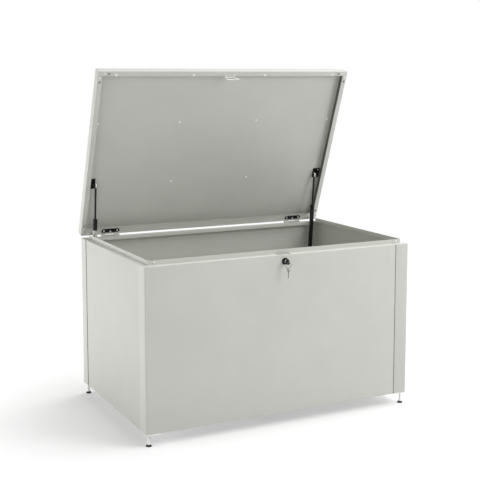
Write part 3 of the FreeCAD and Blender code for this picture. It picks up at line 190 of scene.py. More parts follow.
class FootSizes(PropertyGroup):
    """Levelling feet."""
    inset: length("Inset", "Foot axis from both outer faces", 19.0)
    plate: length("Plate", "Side of the square plate", 72.0)
    plate_in: length("Plate inset", "Plate from the outer faces", 0.0)
    plate_thick: length("Plate thickness", "Thickness of the plate", 4.5)
    bush: length("Bush radius", "Threaded bush, outside", 8.0)
    bush_top: length("Bush top", "Top of the bush above the bottom edge", 13.0)
    stud: length("Stud radius", "Levelling stud radius", 6.0)
    pitch: length("Thread pitch", "Pitch of the stud's thread", 1.5)
    plain: length("Plain shank", "Top of the stud's plain shank above the ground", 30.0)
    stud_low: length("Stud seat", "Lower end of the stud above the ground", 4.0)
    stud_top: length("Stud top", "Upper end of the stud above the ground", 89.0)
    pad: length("Pad radius", "Foot pad radius", (pad_high.x - pad_low.x) / 2 / MM)
    pad_height: length("Pad height", "Foot pad height", (pad_high.z - pad_low.z) / MM)


class HingeSizes(PropertyGroup):
    """Butt hinges between the lid's rear lip and the back wall."""
    inset: length("Inset", "Middle of a hinge from the side wall", 152.0)
    leaf: length("Leaf length", "Leaf length along the lid", 95.0)
    reach: length("Leaf reach", "Wall leaf reach from the hinge line", 26.0)
    thick: length("Leaf thickness", "Thickness of a leaf", 2.0)
    corner: length("Leaf corner", "Round on a leaf's outer corners", 9.0)
    plate_in: length("Screw plate start", "Lid screw plate from the hinge line", 15.5)
    plate_width: length("Screw plate width", "Width of the lid screw plate", 20.0)
    plate_thick: length("Screw plate thickness", "Thickness of the lid screw plate", 1.2)
    knuckle: length("Knuckle radius", "Knuckle outside radius", 4.0)
    middle: length("Middle knuckle", "Length of the middle knuckle", 45.0)
    gap: length("Knuckle gap", "Gap between knuckles", 0.4)
    clear: length("Knuckle clearance", "Leaf to the other leaf's knuckle", 0.6)
    pin: length("Pin radius", "Hinge pin radius", 2.4)
    pin_head: length("Pin head radius", "Hinge pin head radius", 3.9)
    pin_head_thick: length("Pin head", "Hinge pin head thickness", 1.5)
    screw_step: length("Screw step", "Outer screws from the middle one", 35.0)
    screw_in: length("Outer screws", "Wall leaf's outer screws from the hinge line", 18.0)
    screw_mid: length("Middle screw", "Middle screws nearer to the hinge line than the outer ones", 5.0)


class FastenerSizes(PropertyGroup):
    """Screws and rivets."""
    screw_head: length("Screw head", "Screw head radius", 4.2)
    screw_rise: length("Screw rise", "Screw head height", 1.4)
    screw_shank: length("Screw shank", "Screw shank radius", 2.1)
    rivet_head: length("Rivet head", "Rivet head radius", 4.3)
    rivet_rise: length("Rivet rise", "Rivet head height", 2.2)
    rivet_shank: length("Rivet shank", "Rivet shank radius", 2.0)
    cap_head: length("Cap", "Radius of the caps on the lid's rivets", 6.5)
    cap_rise: length("Cap rise", "Height of the caps on the lid's rivets", 4.0)


class StrutSizes(PropertyGroup):
    """Gas struts and their brackets."""
    inset: length("Inset", "Strut axis from the side wall", 56.0)
    arm: length("Arm", "Both pivots from the hinge line", 274.0)
    lid_angle: angle("Lid pivot", "Lid pivot above level with the lid shut", 5.0)
    wall_angle: angle("Wall pivot", "Wall pivot below level", 85.0)
    barrel: length("Barrel radius", "Barrel radius", 11.0)
    barrel_low: length("Barrel foot", "Barrel's lower end from its pivot", 16.0)
    barrel_top: length("Barrel top", "Barrel's upper end from its pivot", 370.0)
    rod: length("Rod radius", "Piston rod radius", 5.0)
    rod_end: length("Rod end", "Lower end of the rod from its pivot", 185.0)
    eye: length("Eye radius", "Strut eye radius", 8.0)
    eye_width: length("Eye width", "Strut eye width", 10.0)
    pin: length("Pin radius", "Bracket pin radius", 4.0)
    cap: length("Pin cap", "Bracket pin cap radius", 6.5)
    ear_in: length("Ear place", "Bracket ear from the side wall", 36.0)
    ear: length("Ear", "Bracket ear thickness", 3.0)
    ear_round: length("Ear round", "Round of the ear about its pin", 11.0)
    base: length("Base", "Bracket base thickness", 2.0)
    rivet_step: length("Rivet step", "Bracket rivets from the bracket's middle", 18.0)
    band_top: length("Band top", "Top of the plain band below the barrel's top", 57.0)
    band_length: length("Band length", "Length of the plain band", 120.0)


class LockSizes(PropertyGroup):
    """Cam lock, strike, keys and ring."""
    height: length("Height", "Lock axis above the ground", (lock_low.z + lock_high.z) / 2 / MM)
    rosette: length("Rosette radius", "Rosette radius", 16.0)
    rosette_thick: length("Rosette", "Rosette thickness", 6.0)
    body: length("Body radius", "Lock body radius", 9.5)
    body_depth: length("Body depth", "Lock body behind the front face", 12.0)
    nut: length("Nut radius", "Back nut across its corners, half", 13.0)
    nut_thick: length("Nut", "Back nut thickness", 3.0)
    plug: length("Plug radius", "Turning plug radius", 6.0)
    plug_proud: length("Plug proud", "Plug in front of the rosette", 1.0)
    cam: length("Cam half width", "Half width of the cam", 7.0)
    cam_thick: length("Cam", "Cam thickness", 2.5)
    cam_reach: length("Cam reach", "Cam reach from the axis", 30.0)
    key: length("Key", "Key thickness", 2.2)
    key_width: length("Key width", "Key blade width", 7.0)
    key_inside: length("Key inside", "Key blade inside the plug", 16.0)
    key_neck: length("Key neck", "Key blade between plug and bow", 9.0)
    bow: length("Bow radius", "Key bow radius", 12.0)
    head: length("Key head", "Thickness of the moulded key head", 5.0)
    hole: length("Bow hole", "Hole in a key bow", 3.5)
    hole_out: length("Hole place", "Hole past the middle of a bow", 5.0)
    ring: length("Ring radius", "Key ring radius to the wire's middle", 13.0)
    wire: length("Ring wire", "Key ring wire radius, both coils", 0.9)
    spare_blade: length("Spare blade", "Spare key blade length", 28.0)
    spare_bow: length("Spare bow", "Spare key bow radius", 10.5)
    strike_width: length("Strike width", "Strike plate width", 62.0)
    strike_thick: length("Strike", "Strike plate thickness", 2.0)


class Finishes(PropertyGroup):
    """Colours of the finishes, as they render under plain light."""
    paint: colour("Powder coat", "Light grey powder coat on the sheets", (213, 214, 207))
    # painted shade: the left side between its strips is painted a touch darker, so that the front strip
    # stands lighter as the light falls there
    panel: colour("Side panel", "Powder coat on the left side between its strips", (206, 207, 200))
    # painted shade: a darker coat in the lid's fold behind its lips, standing in for the shadow there
    channel: colour("Channel", "Thin coat in the lid's fold, behind its lips", (132, 133, 129))
    paint_rough: share("Powder coat roughness", "Gloss of the powder coat, 0 is a mirror", 0.46)
    zinc: colour("Zinc", "Zinc plating on the floor, its rail and the strike", (228, 229, 228))
    black_coat: colour("Black coat", "Black coat on hinges and struts", (20, 20, 21))
    plastic: colour("Black plastic", "Moulded foot pads", (38, 38, 39))
    # painted shade: the dark rubber of the strips in the wall joints stands in for the shadow in the gaps
    rubber: colour("Rubber", "Seals in the wall joints", (26, 26, 26))
    buffer: colour("Buffer rubber", "Lid buffers", (150, 150, 146))
    bright: colour("Bright steel", "Plated fasteners, studs, foot plates, nut and cam", (242, 242, 240))
    rod: colour("Rod", "Dark hardened piston rod", (46, 46, 49))
    lock_black: colour("Lock black", "Rosette of the lock and head of its key", (14, 14, 15))
    lock_metal: colour("Lock plug", "Chromed plug", (214, 214, 212))
    key: colour("Key", "Nickelled key", (168, 167, 162))
    ring: colour("Key ring", "Tempered steel of the key ring", (92, 92, 90))
    cap: colour("Rivet cap", "White caps of the lid's rivets", (254, 254, 252))
    band: colour("Plain band", "Plain pale band on the strut barrel", (204, 205, 203))


class StageSettings(PropertyGroup):
    """Floor, light and camera."""
    floor: colour("Floor", "Pale floor as other surfaces see it", (228, 228, 228))
    floor_lift: strength("Floor lift", "Extra white of the floor where it is looked at", 0.265)
    ambient: strength("Ambient", "Even light from all round", 0.3)
    top_light: strength("Top light", "Soft light from above right", 2.55)
    right_light: strength("Right light", "Softbox near the front right, in watts", 18.5)
    left_light: strength("Left light", "Softbox on the left, in watts", 33.0)
    lens: FloatProperty(name="Lens", description="Focal length on a 36 mm wide sensor", default=75.79,
                        unit="CAMERA")
    shift: FloatProperty(name="Shift", description="Upward shift of the lens, as a share of the width",
                         default=-0.1)
    place: FloatVectorProperty(name="Camera place", description="Where the camera stands",
                               default=(-2.1849, -4.3412, 1.595), subtype="TRANSLATION", unit="LENGTH")
    yaw: angle("Yaw", "Camera turned to the right of straight back", 26.603)
    pitch: angle("Pitch", "Camera tipped down", 6.625)


class GardenBox(PropertyGroup):
    """All settings of the box."""
    walls: PointerProperty(type=WallSizes)
    lid: PointerProperty(type=LidSizes)
    feet: PointerProperty(type=FootSizes)
    hinges: PointerProperty(type=HingeSizes)
    fasteners: PointerProperty(type=FastenerSizes)
    struts: PointerProperty(type=StrutSizes)
    lock: PointerProperty(type=LockSizes)
    finishes: PointerProperty(type=Finishes)
    stage: PointerProperty(type=StageSettings)


# Mesh tools

class Shape:
    """A mesh being made, in metres; solid, lathe, plate, block and copy_in give it back for the next."""

    def __init__(self):
        self.bm = bmesh.new()

    def loft(self, rings, ring_closed=True, path_closed=False, caps=(None, None), at=None):
        """Skin rings of points; a cap is None, 'full' or the span of ring points that it closes."""
        rows = []
        for ring in rings:
            rows.append([self.bm.verts.new(at @ Vector(p) if at else Vector(p)) for p in ring])
        count = len(rows[0])
        pairs = list(zip(rows, rows[1:])) + ([(rows[-1], rows[0])] if path_closed else [])
        last = count if ring_closed else count - 1
        for near, far in pairs:
            for i in range(last):
                j = (i + 1) % count
                self.bm.faces.new((near[i], near[j], far[j], far[i]))
        for row, cap in ((rows[0], caps[0]), (rows[-1], caps[1])):
            if cap:
                self.bm.faces.new(row if cap == "full" else row[cap[0]:cap[1] + 1])
        return rows

    def solid(self, rings, at=None):
        """Skin rings of points and close both ends."""
        self.loft(rings, caps=("full", "full"), at=at)
        return self

    def lathe(self, profile, at=None, steps=ROUND_STEPS, closed=False):
        """Turn (radius, height) points about the local Z axis."""
        rings = [[(r * math.cos(t), r * math.sin(t), h) for t in spokes(steps)] for r, h in profile]
        caps = [None if closed or r < WELD else "full" for r, _ in (profile[0], profile[-1])]
        self.loft(rings, path_closed=closed, caps=caps, at=at)
        return self

    def plate(self, loops, low, high, soft=0.2 * MM, at=None):
        """Raise an outline (anticlockwise) with holes (clockwise) between two heights."""
        ends = ([], [])
        for loop in loops:
            rows = []
            for inset, h in ((soft, low), (0, low + soft), (0, high - soft), (soft, high)):
                rows.append([(x, y, h) for x, y in offset(loop, inset)])
            made = self.loft(rows, at=at)
            ends[0].append(made[0])
            ends[1].append(made[-1])
        for rows in ends:
            if len(rows) == 1:
                self.bm.faces.new(rows[0])
                continue
            edges = [self.bm.edges.get((a, b)) for row in rows for a, b in zip(row, row[1:] + row[:1])]
            bmesh.ops.triangle_fill(self.bm, edges=edges, use_beauty=True, use_dissolve=False)
        return self

    def block(self, low, high):
        """A square-edged block between two corners."""
        (x0, y0, z0), (x1, y1, z1) = low, high
        return self.solid([[(x0, y0, z), (x1, y0, z), (x1, y1, z), (x0, y1, z)] for z in (z0, z1)])

    def copy_in(self, other, at=None, finish=0):
        """Add a placed copy of another shape, wearing the piece's finish of that number."""
        verts = {v: self.bm.verts.new(at @ v.co if at else v.co) for v in other.bm.verts}
        for face in other.bm.faces:
            self.bm.faces.new([verts[v] for v in face.verts]).material_index = finish
        return self

    def mesh(self, name, at=None):
        """Blender mesh of the shape, welded and placed; the shape is used up."""
        bm = self.bm
        bmesh.ops.remove_doubles(bm, verts=bm.verts, dist=WELD)
        bmesh.ops.dissolve_degenerate(bm, edges=bm.edges, dist=WELD)
        bmesh.ops.recalc_face_normals(bm, faces=bm.faces)
        data = bpy.data.meshes.new(name)
        bm.to_mesh(data)
        bm.free()
        if at:
            data.transform(at)
        return data

    def without(self, cutter):
        """This shape with another one cut out of it."""
        body = bpy.data.objects.new("blank", self.mesh("blank"))
        tool = bpy.data.objects.new("cutter", cutter.mesh("cutter"))
        for obj in (body, tool):
            bpy.context.scene.collection.objects.link(obj)
        cut = body.modifiers.new("cut", "BOOLEAN")
        cut.operation, cut.solver, cut.object = "DIFFERENCE", "EXACT", tool
        bpy.context.view_layer.update()
        done = bpy.data.meshes.new_from_object(body.evaluated_get(bpy.context.evaluated_depsgraph_get()))
        result = Shape()
        result.bm.from_mesh(done)
        for obj in (body, tool):
            data = obj.data
            bpy.data.objects.remove(obj)
            bpy.data.meshes.remove(data)
        bpy.data.meshes.remove(done)
        return result


def offset(loop, inset):
    """Move an outline's points to the left of its direction."""
    if not inset:
        return loop
    count, moved = len(loop), []
    for i, point in enumerate(loop):
        before, here, after = Vector(loop[i - 1]), Vector(point), Vector(loop[(i + 1) % count])
        a, b = (here - before).normalized(), (after - here).normalized()
        na, nb = Vector((-a.y, a.x)), Vector((-b.y, b.x))
        step = (na + nb) / max(0.3, 1 + na.dot(nb))
        moved.append(tuple(here + step * inset))
    return moved


def rounded(corners, steps=5):
    """Outline with rounded corners, each given as (x, y, radius)."""
    points, count = [], len(corners)
    for i, (x, y, radius) in enumerate(corners):
        here = Vector((x, y))
        a = (Vector(corners[i - 1][:2]) - here).normalized()
        b = (Vector(corners[(i + 1) % count][:2]) - here).normalized()
        if radius <= 0:
            points.append((x, y))
            continue
        half = math.acos(max(-1, min(1, a.dot(b)))) / 2
        reach = radius / math.tan(half)
        centre = here + (a + b).normalized() * (radius / math.sin(half))
        first, last = here + a * reach - centre, here + b * reach - centre
        turn = math.atan2(first.x * last.y - first.y * last.x, first.dot(last))
        for j in range(steps + 1):
            spin = Matrix.Rotation(turn * j / steps, 2)
            points.append(tuple(centre + spin @ first))
    return points


def rectangle(x0, y0, x1, y1, radius=0.0):
    """Outline of a rectangle with rounded corners."""
    return rounded([(x0, y0, radius), (x1, y0, radius), (x1, y1, radius), (x0, y1, radius)])


def spokes(steps):
    """Evenly spaced angles all the way round."""
    return [2 * math.pi * i / steps for i in range(steps)]


def circle(x, y, radius, steps=24):
    """Outline of a round hole."""
    return [(x + radius * math.cos(-t), y + radius * math.sin(-t)) for t in spokes(steps)]


def hexagon(radius, corner):
    """Outline of a hexagon with rounded corners."""
    return rounded([(radius * math.cos(t), radius * math.sin(t), corner) for t in spokes(6)], 3)


def bent_sheet(line, radius, thick):
    """Two skins of a sheet folded along a line; points that don't turn stay single."""
    spots = []
    for i, point in enumerate(line):
        here = Vector(point)
        if i in (0, len(line) - 1):
            way = (Vector(line[1]) - here) if i == 0 else (here - Vector(line[i - 1]))
            spots.append((here, way.normalized()))
            continue
        a, b = (here - Vector(line[i - 1])).normalized(), (Vector(line[i + 1]) - here).normalized()
        turn = math.atan2(a.x * b.y - a.y * b.x, a.dot(b))
        if abs(turn) < WELD:
            spots.append((here, a))
            continue
        start = here - a * (radius * math.tan(abs(turn) / 2))
        side = Vector((-a.y, a.x)) * math.copysign(radius, turn)
        for j in range(BEND_STEPS + 1):
            spin = Matrix.Rotation(turn * j / BEND_STEPS, 2)
            spots.append((start + side - spin @ side, spin @ a))
    left = [tuple(p + Vector((-w.y, w.x)) * thick / 2) for p, w in spots]
    right = [tuple(p - Vector((-w.y, w.x)) * thick / 2) for p, w in spots]
    return left, right


def sheet_ring(line, radius, thick):
    """Closed section of a sheet folded along a line."""
    left, right = bent_sheet(line, radius, thick)
    return left + right[::-1]


def straight(base, inward):
    """A place on a straight wall: offsets go inwards from its outer face."""
    base, inward = Vector(base), Vector(inward)
    return lambda one, two: base + inward * one


def turned_corner(corner, first, second, radius, part):
    """A place on a rounded corner between two walls, mitred inside the bend."""
    corner, first, second = Vector(corner), Vector(first), Vector(second)
    centre = corner + (first + second) * radius
    out = -(first * math.cos(part * math.pi / 2) + second * math.sin(part * math.pi / 2))

    def point(one, two):
        if max(one, two) < radius:
            return centre + out * (radius - one)
        return corner + first * one + second * two
    return point


def axis_frame(place, axis, spin=0.0):
    """Frame at a place whose local Z runs along an axis."""
    turn = Vector(UP).rotation_difference(Vector(axis)).to_matrix().to_4x4()
    return Matrix.Translation(place) @ turn @ Matrix.Rotation(spin, 4, "Z")


ALONG_X = axis_frame((0, 0, 0), RIGHTWARD)
# local (u, v, w) of an upright plate to (y, z, x), and to (x, z, -y)
SIDE_PLATE = Matrix(((0, 0, 1, 0), (1, 0, 0, 0), (0, 1, 0, 0), (0, 0, 0, 1)))
FRONT_PLATE = Matrix(((1, 0, 0, 0), (0, 0, -1, 0), (0, 1, 0, 0), (0, 0, 0, 1)))


def lid_frame(lid):
    """Places a piece drawn about the hinge line on the open lid."""
    return Matrix.Translation((0, lid.hinge_y, lid.hinge_z)) @ Matrix.Rotation(-lid.open, 4, "X")


# Finishes

class Recipe:
    """A node material with helpers for its texture nodes."""

    def __init__(self, name, **values):
        self.material = bpy.data.materials.new(name)
        self.material.use_nodes = True
        self.tree = self.material.node_tree
        self.shader = self.fill(self.tree.nodes["Principled BSDF"], values)
        self.coords = self.node("ShaderNodeTexCoord").outputs["Object"]

    def fill(self, made, values):
        """Set a node's sockets; an underscore stands for a space in their names."""
        for key, value in values.items():
            made.inputs[key.replace("_", " ")].default_value = value
        return made

    def node(self, kind, **values):
        """A new node with its sockets set."""
        return self.fill(self.tree.nodes.new(kind), values)

    def link(self, source, target):
        """Join two sockets."""
        self.tree.links.new(source, target)

    def noise(self, scale, detail=3.0, stretch=None):
        """Cloudy texture on the piece."""
        made = self.node("ShaderNodeTexNoise", Scale=scale, Detail=detail, Roughness=0.55)
        source = self.coords
        if stretch:
            mapping = self.node("ShaderNodeMapping", Scale=stretch)
            self.link(source, mapping.inputs["Vector"])
            source = mapping.outputs["Vector"]
        self.link(source, made.inputs["Vector"])
        return made.outputs["Fac"]

    def cells(self, scale):
        """Patches of even tone on the piece."""
        made = self.node("ShaderNodeTexVoronoi", Scale=scale)
        self.link(self.coords, made.inputs["Vector"])
        grey = self.node("ShaderNodeSeparateColor")
        self.link(made.outputs["Color"], grey.inputs["Color"])
        return grey.outputs["Red"]

    def tint(self, source, base, low, high, start=0.3, stop=0.7):
        """Vary a base colour's level with a texture and give it to the shader."""
        ramp = self.node("ShaderNodeValToRGB")
        for element, place, level in zip(ramp.color_ramp.elements, (start, stop), (low, high)):
            element.position = place
            element.color = (*(min(1.0, c * level) for c in base), 1.0)
        self.link(source, ramp.inputs["Fac"])
        self.link(ramp.outputs["Color"], self.shader.inputs["Base Color"])

    def rough(self, source, low, high, start=0.3, stop=0.7):
        """Spread the shader's roughness over a range with a texture."""
        made = self.node("ShaderNodeMapRange", From_Min=start, From_Max=stop, To_Min=low, To_Max=high)
        self.link(source, made.inputs["Value"])
        self.link(made.outputs["Result"], self.shader.inputs["Roughness"])

    def marks(self, source, base, tones, gloss):
        """Vary colour and roughness together with one texture."""
        self.tint(source, base, *tones)
        self.rough(source, *gloss)

    def bump(self, source, depth, amount):
        """Add fine relief to the shader's normal."""
        made = self.node("ShaderNodeBump", Distance=depth, Strength=amount)
        self.link(source, made.inputs["Height"])
        before = self.shader.inputs["Normal"].links
        if before:
            self.link(before[0].from_socket, made.inputs["Normal"])
        self.link(made.outputs["Normal"], self.shader.inputs["Normal"])


def powder_coat(finishes, name="powder_coat_grey", tone=None):
    """Satin powder coat: faint tone drift, fine grain and orange peel."""
    made = Recipe(name)
    made.tint(made.noise(5.0, 4.0), tone or finishes.paint, 0.975, 1.02)
    grain = made.noise(1500.0, 2.0)
    made.rough(grain, finishes.paint_rough - 0.05, finishes.paint_rough + 0.05)
    made.bump(made.noise(420.0, 2.0), 0.05 * MM, 0.5)
    made.bump(grain, 0.03 * MM, 0.35)
    return made.material


def shaded_side_coat(finishes):
    """The same coat, a touch darker, on the left side between its strips: painted shade, so that the front
    strip reads lighter as the light falls there.
    """
    return powder_coat(finishes, "powder_coat_side_shade", finishes.panel)


def fold_shade_coat(finishes):
    """Darker coat in the lid's fold behind its lips: painted shade standing in for the shadow there."""
    return powder_coat(finishes, "powder_coat_fold_shade", finishes.channel)


def zinc_plate(finishes):
    """Zinc with soft spangle and a rolled grain."""
    made = Recipe("zinc_plate", Metallic=1.0)
    made.marks(made.cells(90.0), finishes.zinc, (0.96, 1.02, 0.0, 1.0), (0.42, 0.48, 0.0, 1.0))
    made.bump(made.noise(900.0, 3.0, (1.0, 0.12, 1.0)), 0.03 * MM, 0.4)
    return made.material


def black_coat(finishes):
    """Semi-gloss black coat with fine texture."""
    made = Recipe("black_coat", Specular_IOR_Level=0.22)
    made.tint(made.noise(60.0), finishes.black_coat, 0.8, 1.25)
    grain = made.noise(1800.0, 2.0)
    made.rough(grain, 0.3, 0.44)
    made.bump(grain, 0.03 * MM, 0.5)
    return made.material


def moulded_plastic(finishes):
    """Moulded plastic with a spark-eroded texture."""
    made = Recipe("moulded_plastic")
    made.tint(made.noise(120.0), finishes.plastic, 0.8, 1.2)
    texture = made.cells(2600.0)
    made.rough(texture, 0.5, 0.66, 0.0, 1.0)
    made.bump(texture, 0.04 * MM, 0.6)
    return made.material


def seal_shade_and_buffer_rubber(finishes, name="seal_shade_and_buffer_rubber", tone=None):
    """Matt rubber with a dusty bloom; in the wall joints it is painted shade standing in for the shadow in
    the gaps.
    """
    made = Recipe(name, Specular_IOR_Level=0.2)
    made.tint(made.noise(300.0, 5.0), tone or finishes.rubber, 0.8, 1.25)
    made.rough(made.noise(800.0), 0.7, 0.88)
    made.bump(made.noise(1400.0), 0.03 * MM, 0.5)
    return made.material


def buffer_rubber(finishes):
    """Grey rubber of the lid's buffers."""
    return seal_shade_and_buffer_rubber(finishes, "buffer_rubber", finishes.buffer)


def bright_plate(finishes):
    """Bright plated steel of the fasteners, studs and foot plates."""
    made = Recipe("bright_plate", Metallic=0.4)
    made.marks(made.noise(700.0, 4.0), finishes.bright, (0.92, 1.05), (0.3, 0.48))
    made.bump(made.noise(2500.0), 0.01 * MM, 0.3)
    return made.material


def hard_rod(finishes):
    """Dark hardened rod with a fine ground lay around it."""
    made = Recipe("hardened_rod", Metallic=1.0)
    made.marks(made.noise(300.0, 4.0, (0.3, 0.3, 9.0)), finishes.rod, (0.8, 1.15), (0.16, 0.3))
    return made.material


def lock_gloss(finishes):
    """Glossy black rosette."""
    made = Recipe("lock_gloss_black", Specular_IOR_Level=0.25)
    made.tint(made.noise(200.0), finishes.lock_black, 0.8, 1.2)
    made.rough(made.noise(1200.0), 0.16, 0.28)
    made.bump(made.noise(500.0), 0.01 * MM, 0.3)
    return made.material


def lock_chrome(finishes):
    """Chromed plug with turning marks."""
    made = Recipe("lock_chrome", Metallic=1.0)
    made.marks(made.noise(900.0, 3.0), finishes.lock_metal, (0.9, 1.04), (0.1, 0.22))
    return made.material


def key_nickel(finishes):
    """Nickelled key, rubbed along its length."""
    made = Recipe("key_nickel", Metallic=1.0)
    made.marks(made.noise(500.0, 5.0, (1.0, 0.25, 1.0)), finishes.key, (0.82, 1.06), (0.2, 0.42))
    made.bump(made.noise(1500.0, 3.0, (1.0, 0.2, 1.0)), 0.02 * MM, 0.3)
    return made.material


def tempered_ring(finishes):
    """Tempered spring steel of the key ring."""
    made = Recipe("tempered_ring", Metallic=1.0)
    made.marks(made.noise(800.0, 3.0), finishes.ring, (0.8, 1.15), (0.24, 0.4))
    return made.material


def white_cap(finishes):
    """White caps of the lid's rivets."""
    made = Recipe("white_cap")
    made.marks(made.noise(400.0, 3.0), finishes.cap, (0.96, 1.0), (0.22, 0.34))
    made.bump(made.noise(1800.0), 0.01 * MM, 0.3)
    return made.material


def plain_band(finishes):
    """Plain satin film on the strut barrel."""
    made = Recipe("plain_film")
    made.marks(made.noise(150.0, 4.0), finishes.band, (0.95, 1.03), (0.34, 0.46))
    made.bump(made.noise(900.0), 0.01 * MM, 0.3)
    return made.material


RECIPES = {
    "grey_paint": powder_coat, "panel": shaded_side_coat, "channel": fold_shade_coat, "zinc": zinc_plate,
    "black_paint": black_coat, "black_plastic": moulded_plastic, "rubber": seal_shade_and_buffer_rubber,
    "buffer": buffer_rubber, "bright_steel": bright_plate, "rod_steel": hard_rod, "lock_black": lock_gloss,
    "lock_metal": lock_chrome, "key_metal": key_nickel, "ring": tempered_ring, "cap": white_cap,
    "band": plain_band,
}
mixed = {}


def finish_for(context, name):
    """The finish of that name, mixed on first use."""
    if name not in mixed:
        mixed[name] = RECIPES[name](context.scene.garden_box.finishes)
    return mixed[name]


def node_body(node):
    """Body that a CAD node belongs to."""
    return frame["nodes"][node]["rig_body"]


def set_piece(context, name, shape, nodes, slot, at=None, finish=None, body=None, more=()):
    """Put a finished shape in the scene in place of its CAD nodes; more are its further finishes."""
    data = shape.mesh(name, at)
    data.shade_smooth()
    data.set_sharp_from_angle(angle=SMOOTH_BELOW)
    for wanted in (finish or slot, *more):
        data.materials.append(finish_for(context, wanted))
    piece = bpy.data.objects.new(name, data)
    context.scene.collection.objects.link(piece)
    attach(piece, body or node_body(nodes[0]))
    if nodes:
        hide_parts(*nodes)


# Screws and rivets

def turned(head, rise, dome, tail):
    """Fastener turned from its head's dome, in shares of radius and height, and its tail."""
    return Shape().lathe([(head * r, rise * h) for r, h in dome] + tail, steps=FASTENER_STEPS)


def cross_screw(sizes, grip):
    """Pan-head screw with a cross recess; its head stands on local Z = 0."""
    head, rise, shank, tip = sizes.screw_head, sizes.screw_rise, sizes.screw_shank, 0.4 * MM
    tail = [(shank, 0), (shank, -grip + tip), (shank - tip, -grip), (0, -grip)]
    recess = cross_recess(head * 0.52, head * 0.13, rise * 0.4, rise * 1.3)
    return turned(head, rise, SCREW_DOME, tail).without(recess)


def cross_recess(arm, wide, deep, top, at=None):
    """Cutter of a cross recess, narrower at its bottom."""
    outline = [(arm, -wide), (arm, wide), (wide, wide), (wide, arm), (-wide, arm), (-wide, wide),
               (-arm, wide), (-arm, -wide), (-wide, -wide), (-wide, -arm), (wide, -arm), (wide, -wide)]
    narrow = 0.6
    return Shape().solid([[(x * narrow, y * narrow, deep) for x, y in outline],
                          [(x, y, top) for x, y in outline]], at)


def rivet(sizes, head, rise, dome, grip):
    """Rivet with the given head on a plain shank."""
    shank = sizes.rivet_shank
    return turned(head, rise, dome, [(shank, 0), (shank, -grip), (0, -grip)])


def blind_rivet(sizes, grip):
    """Domed blind rivet with the broken mandrel in its middle."""
    return rivet(sizes, sizes.rivet_head, sizes.rivet_rise, MANDREL_DOME, grip)


def capped_rivet(sizes, grip):
    """Rivet under a closed domed cap."""
    return rivet(sizes, sizes.cap_head, sizes.cap_rise, CAP_DOME, grip)


def set_fasteners(context, name, template, places, node, at=None, finish=None):
    """Put copies of a fastener in the scene, at (place, outward axis) pairs and each turned differently."""
    made = Shape()
    for i, (place, axis) in enumerate(places):
        made.copy_in(template, axis_frame(place, axis, i * FASTENER_TURN))
    template.bm.free()
    set_piece(context, name, made, [node], "bright_steel", at, finish)


# Operators, one for each piece or group of like pieces

